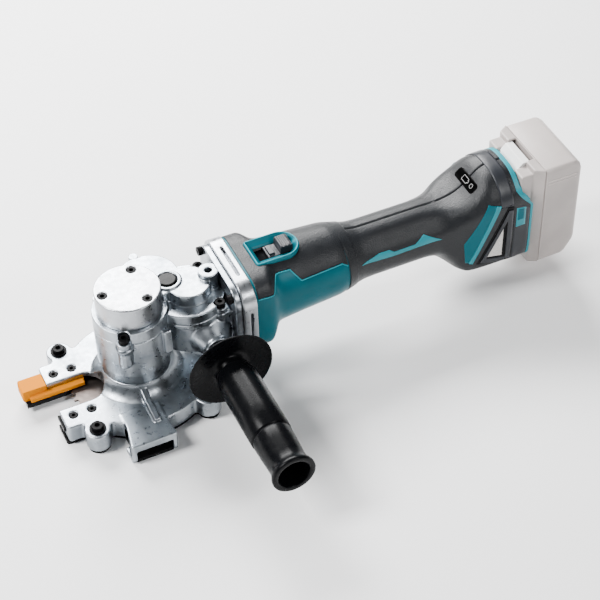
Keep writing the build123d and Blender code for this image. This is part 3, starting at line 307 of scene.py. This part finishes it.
def cad_mesh(nodes):
    """CAD nodes copied into one bmesh, with the seams between their faces closed."""
    bm = bmesh.new()
    for node in nodes:
        bm.from_mesh(frame["nodes"][node].data)
    bmesh.ops.remove_doubles(bm, verts=bm.verts, dist=SEAM_GAP)
    return bm


def add_rings(bm, rings, closed=False):
    """A skin over rings of points in millimetres: capped at both ends, or closed on itself."""
    rows = [[bm.verts.new(Vector(spot) * MM) for spot in ring] for ring in rings]
    pairs = list(zip(rows, rows[1:]))
    if closed:
        pairs.append((rows[-1], rows[0]))
    else:
        bm.faces.new(rows[0][::-1])
        bm.faces.new(rows[-1])
    for here, there in pairs:
        for k in range(len(here)):
            following = (k + 1) % len(here)
            bm.faces.new((here[k], here[following], there[following], there[k]))


def add_block(bm, xs, ys, zs):
    """A block between two values along each axis, for a remesh to grow into what it meets."""
    ring = ((xs[0], ys[0]), (xs[1], ys[0]), (xs[1], ys[1]), (xs[0], ys[1]))
    add_rings(bm, [[(x, y, z) for x, y in ring] for z in zs])


def add_cone(bm, foot, tip, foot_r, tip_r, steps=48):
    """A round cone from foot to tip, for a remesh to grow into what it meets."""
    foot, tip = Vector(foot), Vector(tip)
    side = (tip - foot).orthogonal().normalized()
    across = (tip - foot).normalized().cross(side)
    rings = []
    for centre, radius in ((foot, foot_r), (tip, tip_r)):
        turns = [2 * math.pi * k / steps for k in range(steps)]
        rings.append([centre + radius * (math.cos(a) * side + math.sin(a) * across) for a in turns])
    add_rings(bm, rings)


def soften(name, nodes, voxel, rounds, extras=(), reshape=None, **settings):
    """A CAD shape cast or moulded as it really is: every edge rounded, added forms grown into it."""
    bm = cad_mesh(nodes)
    for extra in extras:
        extra(bm)
    made = with_modifiers(
        to_mesh(bm, name),
        ("REMESH", {"mode": "VOXEL", "voxel_size": voxel * MM}),
        ("SMOOTH", {"factor": 0.5, "iterations": rounds}),
    )
    if reshape:
        reshape(made)
    return finish_piece(name, made, nodes, **settings)


def lathe(name, nodes, profile, axis_x, axis_z, steps=96, **settings):
    """A turned piece on an axis along Y, from (radius, y) points in millimetres round its section."""
    turns = [2 * math.pi * k / steps for k in range(steps)]
    rings = [
        [(axis_x + radius * math.cos(a), y, axis_z + radius * math.sin(a)) for a in turns]
        for radius, y in profile
    ]
    bm = bmesh.new()
    add_rings(bm, rings, closed=True)
    rounding = {"width": 0.5 * MM, "segments": 3, "limit_method": "ANGLE", "angle_limit": math.radians(28)}
    return finish_piece(name, with_modifiers(to_mesh(bm, name), ("BEVEL", rounding)), nodes, **settings)


# ---------------------------------------------------------------- surface of the tool's body

# Motor housing, grip and battery block have one flowing skin round the motor axis. Its section has
# eight faces: these are their distances from the axis at each x, and how sharply the faces meet.
# At a sharpness of 6 and equal distances the section is a circle.
SKIN = np.array((
    # x, side, top, bottom, upper corner, lower corner, sharpness
    (COLLAR_X, 44, 36, 44, 49.1, 54.8, 14),
    (118.0, 44, 36, 44, 49.1, 54.8, 14),
    (122.5, 40.5, 36, 40.5, 41.5, 41.5, 8),
    (128, 38.4, 36.2, 38.4, 38.4, 38.4, 6),
    (150, 36.6, 36.4, 36.6, 36.6, 36.6, 6),
    (190, 34, 34, 34, 34, 34, 6),
    (GRIP_X, 29.8, 29.8, 29.8, 29.8, 29.8, 6),
    (215, 27.8, 27.8, 27.8, 27.6, 27.8, 8),
    (226, 27.5, 27.5, 27.5, 27.1, 27.3, 12),
    (280, 27.5, 27.5, 27.5, 27.1, 27.3, 12),
    (292, 28.2, 27.0, 29, 28.2, 29, 12),
    (300, 29.6, 27.0, 36, 30.5, 36, 12),
    (309, 32.6, 28.5, 43, 36.5, 48, 13),
    (318, 34.6, 31.5, 46.5, 41, 56, 14),
    (326, 35.6, 36.5, 46.5, 44, 57, 14),
    (340, 36.5, 50, 46.5, 49.5, 57, 14),
    (349, 36.5, 53.5, 46.5, 50.5, 57, 14),
    (382, 36.5, 53.5, 46.5, 50.5, 57, 14),
))
FACES = np.radians((0, 45, 90, 135, 180, 225, 270, 315))
STEP = 0.5
BLEND = 2.4
BLEND_SPAN = 9
skin_x = np.arange(SKIN[0, 0], SKIN[-1, 0], STEP)
weights = np.exp(-0.5 * (np.arange(-BLEND_SPAN, BLEND_SPAN + STEP, STEP) / BLEND) ** 2)
half_window = len(weights) // 2


def blended(values):
    """A column of SKIN along skin_x, with its corners eased out."""
    line = np.interp(skin_x, SKIN[:, 0], values)
    return np.convolve(np.pad(line, half_window, mode="edge"), weights / weights.sum(), mode="valid")


skin_columns = [blended(column) for column in SKIN.T[1:]]


def reach(x, angle):
    """Distance from the motor axis to the body's skin, at x and at an angle up from +Y."""
    side, top, bottom, upper, lower, sharpness = (np.interp(x, skin_x, c) for c in skin_columns)
    total = 0.0
    for face, distance in zip(FACES, (side, upper, top, upper, side, lower, bottom, lower)):
        total = total + (np.maximum(0.0, np.cos(angle - face)) / distance) ** sharpness
    return ((1 + 2 * 0.5 ** (sharpness / 2)) / total) ** (1 / sharpness)


TURN = np.radians(np.linspace(-90, 90, 181))


def angle_at_z(x, z):
    """The angle where the skin's +Y side passes height z."""
    return float(np.interp(z - MOTOR_Z, reach(x, TURN) * np.sin(TURN), TURN))


def angle_at_y(x, y):
    """The angle where the skin's top passes the positive width y."""
    upper = TURN[90:]
    return float(np.interp(-y, -reach(x, upper) * np.cos(upper), upper))


def on_skin(x, angle, lift):
    radius = float(reach(x, angle)) + lift
    return (x, radius * math.cos(angle), MOTOR_Z + radius * math.sin(angle))


EASE = 0.3
EDGE_SHARE = 0.012
WELD = 2e-6
SLIVER = 1e-6


def add_patch(bm, xs, starts, ends, under, over, across):
    """A plate on the skin from starts to ends round it at each x, its upper edge eased."""
    ease = min(EASE, (over - under) / 2)
    shares = np.concatenate(((0, 0, EDGE_SHARE), np.linspace(0, 1, across)[1:-1], (1 - EDGE_SHARE, 1, 1)))
    rows = [0, 0, *range(len(xs)), len(xs) - 1, len(xs) - 1]
    from_side = np.minimum(np.arange(len(shares)), np.arange(len(shares))[::-1])
    outer, inner = [], []
    for r, i in enumerate(rows):
        edge = np.minimum(from_side, min(r, len(rows) - 1 - r, 2))
        angles = starts[i] + (ends[i] - starts[i]) * shares
        radii = reach(xs[i], angles)
        for grid, lifts in ((outer, np.array((under, over - ease, over))[edge]), (inner, under)):
            across_y = (radii + lifts) * np.cos(angles)
            up_z = MOTOR_Z + (radii + lifts) * np.sin(angles)
            grid.append([bm.verts.new((xs[i] * MM, y * MM, z * MM)) for y, z in zip(across_y, up_z)])
    for grid in (outer, inner):
        for r in range(len(rows) - 1):
            for c in range(len(shares) - 1):
                bm.faces.new((grid[r][c], grid[r + 1][c], grid[r + 1][c + 1], grid[r][c + 1]))


def closed_patch(bm, name):
    """Welds a patch's plates along their rims into closed forms."""
    bmesh.ops.remove_doubles(bm, verts=bm.verts, dist=WELD)
    bmesh.ops.dissolve_degenerate(bm, edges=bm.edges, dist=SLIVER)
    return to_mesh(bm, name)


def spread(*lines, step=1.5):
    """x values along outlines: every corner of theirs, and steps between."""
    corners = sorted({x for line in lines for x, _ in line})
    low, high = max(line[0][0] for line in lines), min(line[-1][0] for line in lines)
    corners = [x for x in corners if low <= x <= high]
    xs = [corners[0]]
    for start, end in zip(corners, corners[1:]):
        count = max(1, round((end - start) / step))
        xs += [start + (end - start) * k / count for k in range(1, count + 1)]
    return xs


def along(line, x):
    return float(np.interp(x, [spot[0] for spot in line], [spot[1] for spot in line]))


def add_side_patches(bm, lower, upper, under, over, across):
    """A plate on each side of the body, between two outlines of (x, z)."""
    xs = spread(lower, upper)
    starts = [angle_at_z(x, along(lower, x)) for x in xs]
    ends = [angle_at_z(x, along(upper, x)) for x in xs]
    add_patch(bm, xs, starts, ends, under, over, across)
    add_patch(bm, xs, [math.pi - a for a in starts], [math.pi - a for a in ends], under, over, across)


SUNK = -0.8


def inlay(name, lower, upper, over, **settings):
    """A plate let into each side of the body, standing out by over."""
    bm = bmesh.new()
    add_side_patches(bm, lower, upper, SUNK, over, 24)
    return finish_piece(name, closed_patch(bm, name), **settings)


def bead(name, lines, radius, **settings):
    """Thin round mouldings, each along its own line of points in millimetres."""
    curve = bpy.data.curves.new(name, "CURVE")
    curve.dimensions = "3D"
    curve.bevel_depth = radius * MM
    curve.bevel_resolution = 3
    curve.use_fill_caps = True
    for line in lines:
        spline = curve.splines.new("POLY")
        spline.points.add(len(line) - 1)
        for point, spot in zip(spline.points, line):
            point.co = (*(Vector(spot) * MM), 1.0)
    holder = bpy.data.objects.new("holder", curve)
    bpy.context.scene.collection.objects.link(holder)
    graph = bpy.context.evaluated_depsgraph_get()
    mesh = bpy.data.meshes.new_from_object(holder.evaluated_get(graph))
    bpy.data.objects.remove(holder)
    return finish_piece(name, mesh, **settings)


RAISE = 4.5         # farthest that a point is moved out to the skin
LOWER = 14.0        # farthest that one is moved in
FACING = 0.35       # least share of a point's normal that faces away from the motor axis
SEAM_HALF = 1.3


def to_skin(mesh, lift=0.0, seam_depth=0.0):
    """Moves the outer points of a remeshed housing onto the skin, with a groove along its seam."""
    mesh.update()
    spots = np.empty(len(mesh.vertices) * 3, dtype=np.float32)
    normals = np.empty_like(spots)
    mesh.vertices.foreach_get("co", spots)
    mesh.vertices.foreach_get("normal", normals)
    spots, normals = spots.reshape(-1, 3).astype(float), normals.reshape(-1, 3)
    x, y, z = spots[:, 0] / MM, spots[:, 1] / MM, spots[:, 2] / MM - MOTOR_Z
    far = np.hypot(y, z)
    target = reach(x, np.arctan2(z, y)) + lift
    outer = (normals[:, 1] * y + normals[:, 2] * z > FACING * far) & (target - far < RAISE)
    outer |= (far > target) & (far < target + LOWER)
    target = target - seam_depth * np.maximum(0, 1 - np.abs(y) / SEAM_HALF)
    grow = np.where(outer, target / far, 1.0)
    spots[:, 1] = y * grow * MM
    spots[:, 2] = (z * grow + MOTOR_Z) * MM
    mesh.vertices.foreach_set("co", spots.astype(np.float32).ravel())
    mesh.update()


def rounded(xs, half, front_r, rear_r, z, steps=12):
    """A flat ring: a rectangle between xs, its front and rear corners rounded."""
    corners = (
        (xs[0] + front_r, half - front_r, front_r, 90), (xs[0] + front_r, front_r - half, front_r, 180),
        (xs[1] - rear_r, rear_r - half, rear_r, 270), (xs[1] - rear_r, half - rear_r, rear_r, 0),
    )
    ring = []
    for x, y, radius, start in corners:
        for k in range(steps + 1):
            angle = math.radians(start + 90 * k / steps)
            ring.append((x + radius * math.cos(angle), y + radius * math.sin(angle), z))
    return ring


def cut(mesh, form):
    """The mesh with a closed form taken out of it."""
    cutter = bpy.data.objects.new("cutter", form)
    bpy.context.scene.collection.objects.link(cutter)
    made = with_modifiers(mesh, ("BOOLEAN", {"operation": "DIFFERENCE", "solver": "EXACT", "object": cutter}))
    bpy.data.objects.remove(cutter)
    return made


# ---------------------------------------------------------------- cast and machined head


def side_handle_flares(bm):
    """The side handle's bosses flare out of the tower as cast cones."""
    x, z = HANDLE.x, HANDLE.z
    for side in (-1, 1):
        add_cone(bm, (x, side * 22, z + 2), (x, side * 41, z), 24, 12.6)


def drum_rib(bm):
    """A short upright rib where the drum meets the gear tower, and the front ear's deeper foot."""
    add_block(bm, (19, 26), (-30, -22), (60, 86))
    add_cone(bm, (-15, -26, 58), (-17.2, -29.4, 86), 3, 8.0)


def far_pin(bm):
    """The small cast pin that stands on the cover's far ear."""
    add_cone(bm, (24.3, 53.5, 84), (24.3, 53.5, 104), 4.6, 4.2)


soften("cast_blade_cover", ["blade_cover_upper"], 0.7, 6)
soften("cast_gear_housing", ["gear_housing"], 0.7, 6, (side_handle_flares, drum_rib))
soften("cast_gear_housing_cover", ["gear_housing_cover"], 0.55, 2, (far_pin,))
soften("turned_spindle_cap", ["spindle_cap"], 0.5, 1)
soften("machined_adapter_flange", ["adapter_flange"], 0.7, 3)
soften("painted_guide_block", ["guide_block"], 0.5, 2)

# ---------------------------------------------------------------- motor housing

RUBBER = 0.6
EDGE_LINE = (
    (103, 101), (118, 100), (127, 107), (141, 106), (149, 96), (190, 96), (195.5, 92), (197, MOTOR_Z - 40),
    (206, MOTOR_Z - 40),
)
BEZEL = (113.6, 159.9)
BEZEL_HALF = 16.9
BEZEL_FRONT_R = 3.0

soften("moulded_motor_housing", ["motor_housing"], 1.0, 4, reshape=to_skin)

wrap_x = spread(EDGE_LINE, step=1.0)
wrap_starts = [angle_at_z(x, along(EDGE_LINE, x)) for x in wrap_x]
wrap = bmesh.new()
add_patch(wrap, wrap_x, wrap_starts, [math.pi - a for a in wrap_starts], SUNK, RUBBER, 160)
opening = bmesh.new()
add_rings(opening, [
    rounded(BEZEL, BEZEL_HALF, BEZEL_FRONT_R, BEZEL_HALF, MOTOR_Z + 20),
    rounded(BEZEL, BEZEL_HALF, BEZEL_FRONT_R, BEZEL_HALF, MOTOR_Z + 50),
])
wrap_mesh = cut(closed_patch(wrap, "wrap"), to_mesh(opening, "opening"))
finish_piece("moulded_overmold", wrap_mesh, ["motor_housing_overmold"])

LIP_END = 195.5
LIP_BELOW = 0.5
LIP_LIFT = 0.15
lip_x = [x for x in wrap_x if x <= LIP_END]
left_lip = [angle_at_z(x, along(EDGE_LINE, x) - LIP_BELOW) for x in lip_x]
right_lip = [math.pi - a for a in left_lip]
lips = [[on_skin(x, a, LIP_LIFT) for x, a in zip(lip_x, angles)] for angles in (left_lip, right_lip)]
# The raised lip is real; its lighter accent teal is a painted highlight along the ridge where it catches the
# light.
bead("teal_lip_painted_highlight", lips, 0.55, slot="accent_teal")

# ---------------------------------------------------------------- slide switch

SLOT = (119.0, 153.0)
SLOT_HALF = 8.5
LEDGE = MOTOR_Z + 36


def bezel_ring(inset, z):
    front_r = max(0.8, BEZEL_FRONT_R - inset)
    xs = (BEZEL[0] + inset, BEZEL[1] - inset)
    return rounded(xs, BEZEL_HALF - inset, front_r, BEZEL_HALF - inset, z)


bezel = bmesh.new()
add_rings(bezel, [
    bezel_ring(0, LEDGE - 7.5), bezel_ring(0, LEDGE + 0.2), bezel_ring(0.4, LEDGE + 1.2),
    bezel_ring(1.0, LEDGE + 1.7), bezel_ring(1.7, LEDGE + 1.7), bezel_ring(2.4, LEDGE + 1.0),
    bezel_ring(5.6, LEDGE - 1.6), rounded(SLOT, SLOT_HALF, 1.5, 1.5, LEDGE - 3.0),
    rounded(SLOT, SLOT_HALF, 1.5, 1.5, LEDGE - 7.5),
], closed=True)
finish_piece("moulded_switch_bezel", to_mesh(bezel, "bezel"), ["switch_bezel"], slot="housing_teal")
ridge = bezel_ring(1.35, LEDGE + 1.6)
bead("moulded_bezel_ridge", [[*ridge, ridge[0]]], 0.45, slot="accent_teal")

liner = bmesh.new()
add_rings(liner, [
    rounded(SLOT, SLOT_HALF + 0.3, 1.5, 1.5, LEDGE - 7.9),
    rounded(SLOT, SLOT_HALF + 0.3, 1.5, 1.5, LEDGE - 3.2),
    rounded(SLOT, SLOT_HALF - 0.2, 1.5, 1.5, LEDGE - 3.2),
    rounded(SLOT, SLOT_HALF - 0.2, 1.5, 1.5, LEDGE - 5.9),
])
finish_piece("moulded_switch_liner", to_mesh(liner, "liner"), slot="black_plastic")


def lever_ribs(bm):
    """Three ridges across the lever's top, and the hump in front of it."""
    low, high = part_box("switch_slider")[0] / MM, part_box("switch_slider")[1] / MM
    for k in range(3):
        x = high.x - 3.2 - 3.6 * k
        add_block(bm, (x - 0.8, x + 0.8), (low.y + 0.6, high.y - 0.6), (high.z - 2, high.z + 0.7))
    add_block(bm, (low.x + 1.5, low.x + 6.5), (low.y + 2, high.y - 2), (LEDGE - 4, LEDGE - 0.6))


soften("moulded_switch_lever", ["switch_slider"], 0.35, 2, (lever_ribs,))

# ---------------------------------------------------------------- grip and battery block


def shell_to_skin(mesh):
    """The grip shells follow the skin, with a groove where they meet."""
    to_skin(mesh, seam_depth=1.1)


soften("moulded_grip_left", ["handle_shell_left"], 0.9, 5, reshape=shell_to_skin)
soften("moulded_grip_right", ["handle_shell_right"], 0.9, 5, reshape=shell_to_skin)


def rim_to_skin(mesh):
    """The battery rim stands a little proud of the skin."""
    to_skin(mesh, lift=0.2)


soften("moulded_battery_rim", ["battery_rim"], 0.6, 2, reshape=rim_to_skin)

inlay(
    "moulded_grip_stripe", ((210, 84.3), (240, 82.4), (266, 83), (291, 83.2)),
    ((210, 84.3), (229, 89.4), (239, 89.2), (243, 86.2), (264.5, 86.5), (274.3, 92.3), (291, 83.2)),
    0.4, nodes=["accent_stripes"],
)
inlay(
    "moulded_side_wedge", ((312, 72), (314, 49), (317.5, 47.5), (343, 108.5)),
    ((312, 72), (335.5, 111), (343, 108.5)), 0.6, nodes=["side_wedges"],
)
# The bevel strip is drawn in the lighter accent teal as a painted highlight on a face turned toward the
# light.
inlay(
    "wedge_bevel_painted_highlight", ((317.5, 47.5), (321, 46), (347.5, 107)),
    ((317.5, 47.5), (343, 108.5), (347.5, 107)), 0.9, slot="accent_teal",
)
inlay(
    "moulded_vent_base", ((325.5, 43.5), (361.5, 34.5)), ((325.5, 43.5), (355, 104), (361.5, 102)),
    0.4, slot="black_plastic",
)
VENT_BARS = (
    (((329, 45), (334, 47.8), (354.6, 88), (355.8, 99.5)), ((329, 45), (355.8, 99.5))),
    (((354.6, 42), (360, 37.5)), ((354.6, 96.5), (355.8, 99.5), (360, 98.5))),
    (((329, 45), (354.6, 38.8)), ((329, 45), (334, 48.4), (354.6, 43.4))),
)
VENT_BAR_HEIGHT = 1.2
bars = bmesh.new()
for lower, upper in VENT_BARS:
    add_side_patches(bars, lower, upper, 0, VENT_BAR_HEIGHT, 12)
finish_piece("moulded_vent_frames", closed_patch(bars, "vent_frames"), ["vent_frames"], slot="dark_plastic")
inlay(
    "woven_vent_filters", ((335.6, 50.4), (350.8, 46.6)), ((335.6, 50.4), (350.8, 79.5)),
    0.7, nodes=["vent_filters"],
)
inlay(
    "moulded_side_panel", ((362.3, 34), (377.8, 37)), ((362.3, 100.5), (371, 100.5), (377.8, 95)),
    0.3, slot="dark_plastic",
)
inlay(
    "moulded_badge", ((364, 76.5), (373.5, 76.5)), ((364, 99), (373.5, 97.5)),
    0.6, slot="accent_teal",
)
inlay(
    "moulded_badge_field", ((365.2, 84), (372.3, 84)), ((365.2, 97.6), (372.3, 96.3)),
    0.8, slot="housing_teal",
)


def top_plate(name, centre_x, half_x, half_y, corner, over, **settings):
    """A rounded plate across the top of the block."""
    xs = [centre_x - half_x + 2 * half_x * k / 16 for k in range(17)]
    starts = []
    for x in xs:
        past = max(0.0, abs(x - centre_x) - (half_x - corner))
        starts.append(angle_at_y(x, half_y - corner + math.sqrt(max(0.0, corner ** 2 - past ** 2))))
    bm = bmesh.new()
    add_patch(bm, xs, starts, [math.pi - a for a in starts], SUNK, over, 60)
    return finish_piece(name, closed_patch(bm, name), **settings)


WINDOW = middle("indicator_window") / MM
top_plate("moulded_window", WINDOW.x, 3.9, 16.3, 2.6, 0.35, nodes=["indicator_window"])


def on_window(dx, y):
    """A point just above the window, dx behind its middle and y across it."""
    angle = angle_at_y(WINDOW.x + dx, abs(y))
    return on_skin(WINDOW.x + dx, angle if y >= 0 else math.pi - angle, 0.42)


def on_window_line(corners):
    """The window's points along a line of corners, close enough to follow its curve."""
    spots = []
    for (x0, y0), (x1, y1) in zip(corners, corners[1:]):
        spots += [on_window(x0 + (x1 - x0) * k / 6, y0 + (y1 - y0) * k / 6) for k in range(6)]
    return spots + [on_window(*corners[-1])]


cell_mark = (
    (-1.8, 5.5), (1.8, 5.5), (1.8, -2.5), (0.8, -2.5), (0.8, -3.8),
    (-0.8, -3.8), (-0.8, -2.5), (-1.8, -2.5), (-1.8, 5.5),
)
lamp_turns = [math.radians(a) for a in range(0, 361, 20)]
lamp_mark = [(1.5 * math.cos(a), -9.3 + 1.9 * math.sin(a)) for a in lamp_turns]
window_marks = [on_window_line(cell_mark), on_window_line(lamp_mark)]
bead("printed_window_marks", window_marks, 0.09, slot="battery_white")

# a smooth raised band runs over the block behind the window
band_x = spread(((347.5, 0), (360, 0)))
band_starts = [math.radians(36)] * len(band_x)
band = bmesh.new()
add_patch(band, band_x, band_starts, [math.pi - a for a in band_starts], SUNK, 0.7, 120)
finish_piece("moulded_block_band", closed_patch(band, "band"), slot="dark_plastic")

# ---------------------------------------------------------------- battery

CASE_LOW, CASE_HIGH = (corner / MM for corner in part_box("battery_case"))


def case_ring(inset, y):
    """The pack's outline seen from the side, its rear corners cut off."""
    low_x, high_x = CASE_LOW.x + inset * 0.3, CASE_HIGH.x - inset
    low_z, high_z = CASE_LOW.z + inset, CASE_HIGH.z - inset
    return [
        (low_x, y, low_z), (high_x - 12, y, low_z), (high_x - 8, y, low_z + 2.5),
        (high_x - 1, y, low_z + 14), (high_x, y, low_z + 18), (high_x, y, high_z - 9),
        (high_x - 1.4, y, high_z - 5), (high_x - 6, y, high_z - 0.8), (high_x - 9, y, high_z),
        (low_x, y, high_z),
    ]


case = bmesh.new()
case_half = CASE_HIGH.y
rounding_steps = (
    (5.0, case_half), (3.4, case_half), (1.6, case_half - 0.7),
    (0.5, case_half - 1.9), (0.0, case_half - 3.6),
)
case_rings = [case_ring(inset, y) for inset, y in rounding_steps]
case_rings += [case_ring(inset, -y) for inset, y in reversed(rounding_steps)]
add_rings(case, case_rings)
case_rounding = {"width": 0.8 * MM, "segments": 3, "angle_limit": math.radians(35)}
case_mesh = with_modifiers(to_mesh(case, "case"), ("BEVEL", case_rounding))
finish_piece("moulded_battery_case", case_mesh, ["battery_case"])

ridge_lines = []
for side in (-1, 1):
    y = side * (case_half - 0.1)
    for z in (CASE_HIGH.z - 14, CASE_HIGH.z - 17.5):
        ridge_lines.append([(CASE_LOW.x + 3, y, z), (CASE_HIGH.x - 6, y, z)])
bead("moulded_battery_ridges", ridge_lines, 0.55, body="battery", slot="battery_grey")

soften("moulded_battery_cover", ["battery_cover"], 0.7, 3)
soften("moulded_battery_latch", ["battery_latch"], 0.5, 4)

# ---------------------------------------------------------------- side handle

grip_outline = (
    (4.1, -76), (14.2, -76), (15.6, -77.2), (16.6, -79.5), (17.4, -83), (18.1, -90), (18.3, -100),
    (18.4, -130), (18.3, -155.2), (17.9, -156.0), (17.0, -156.5), (17.0, -157.5), (17.6, -158.1),
    (17.8, -159.0), (17.4, -172), (16.8, -185), (16.7, -190), (17.3, -193.4), (18.6, -196.4),
    (19.4, -198.4), (19.5, -200.0), (19.1, -201.2), (18.3, -201.5), (15.6, -201.5), (14.6, -201.2),
    (14.1, -200.2), (12.8, -184), (12.2, -104), (4.1, -100),
)
guard_outline = (
    (4.1, -46.1), (11.5, -46.1), (11.5, -52.6), (9.8, -54.0), (9.8, -62.5), (11.0, -64.6),
    (13.5, -66.0), (22, -66.9), (30, -68.0), (36, -69.4), (38.3, -70.4), (38.9, -71.2), (38.6, -71.9),
    (37.6, -72.0), (33, -70.9), (26, -69.7), (20, -69.2), (16.8, -69.8), (15, -71.2), (13.9, -73.6),
    (13.5, -75.9), (4.1, -75.9),
)
lathe("moulded_side_handle_grip", ["side_handle_grip"], grip_outline, HANDLE.x, HANDLE.z)
lathe("moulded_side_handle_guard", ["side_handle_guard"], guard_outline, HANDLE.x, HANDLE.z)

# ---------------------------------------------------------------- floor, light and camera

floor_mesh = bpy.data.meshes.new("floor")
FLOOR_HALF = 6.0
FLOOR_DROP = 0.0002
floor_corners = [(x * FLOOR_HALF, y * FLOOR_HALF, 0) for x, y in ((-1, -1), (1, -1), (1, 1), (-1, 1))]
floor_mesh.from_pydata(floor_corners, [], [(0, 1, 2, 3)])
floor = bpy.data.objects.new("floor", floor_mesh)
bpy.context.scene.collection.objects.link(floor)
floor_finish = Shader("floor_paper", 0.9)
floor_finish.colour(floor_finish.mix(floor_finish.noise(6.0), (0.90, 0.90, 0.90), (0.93, 0.93, 0.93)))
floor_mesh.materials.append(floor_finish.material)
floor.location.z = -FLOOR_DROP

world = bpy.data.worlds.new("studio")
bpy.context.scene.world = world
world.use_nodes = True
surround = world.node_tree.nodes["Background"].inputs
surround["Color"].default_value = (0.92, 0.95, 1.0, 1.0)
surround["Strength"].default_value = 0.17


def softbox(name, spot, aim, width, height, power):
    """A rectangular studio light at spot, facing aim."""
    lamp = bpy.data.lights.new(name, "AREA")
    lamp.shape = "RECTANGLE"
    lamp.size, lamp.size_y, lamp.energy = width, height, power
    holder = bpy.data.objects.new(name, lamp)
    holder.location = spot
    holder.rotation_mode = "QUATERNION"
    holder.rotation_quaternion = (Vector(aim) - Vector(spot)).to_track_quat("-Z", "Y")
    bpy.context.scene.collection.objects.link(holder)


CENTRE = (0.15, 0.0, 0.06)
softbox("key_back", (0.15, 1.25, 1.1), CENTRE, 1.4, 0.6, 105)
softbox("top_left", (-0.9, 0.1, 1.2), CENTRE, 0.4, 0.5, 36)
softbox("band_right", (0.65, -1.1, 1.05), CENTRE, 0.6, 0.22, 12)

AZIMUTH, ELEVATION, ROLL = (math.radians(a) for a in (-25.668, 44.128, -0.329))
TARGET = Vector((0.2, 0.0, 0.0525))
DISTANCE = 1.5713
back = Vector((
    math.sin(AZIMUTH) * math.cos(ELEVATION), -math.cos(AZIMUTH) * math.cos(ELEVATION), math.sin(ELEVATION)
))
level = Vector((math.cos(AZIMUTH), math.sin(AZIMUTH), 0))
upright = back.cross(level)
right = math.cos(ROLL) * level + math.sin(ROLL) * upright
up = math.cos(ROLL) * upright - math.sin(ROLL) * level
camera_data = bpy.data.cameras.new("camera")
camera_data.lens = 102.86
camera_data.sensor_width = 36
camera_data.shift_x, camera_data.shift_y = -0.0641, -0.0416
camera = bpy.data.objects.new("camera", camera_data)
facing = Matrix((right, up, back)).transposed().to_4x4()
camera.matrix_world = Matrix.Translation(TARGET + DISTANCE * back) @ facing
bpy.context.scene.collection.objects.link(camera)
bpy.context.scene.camera = camera
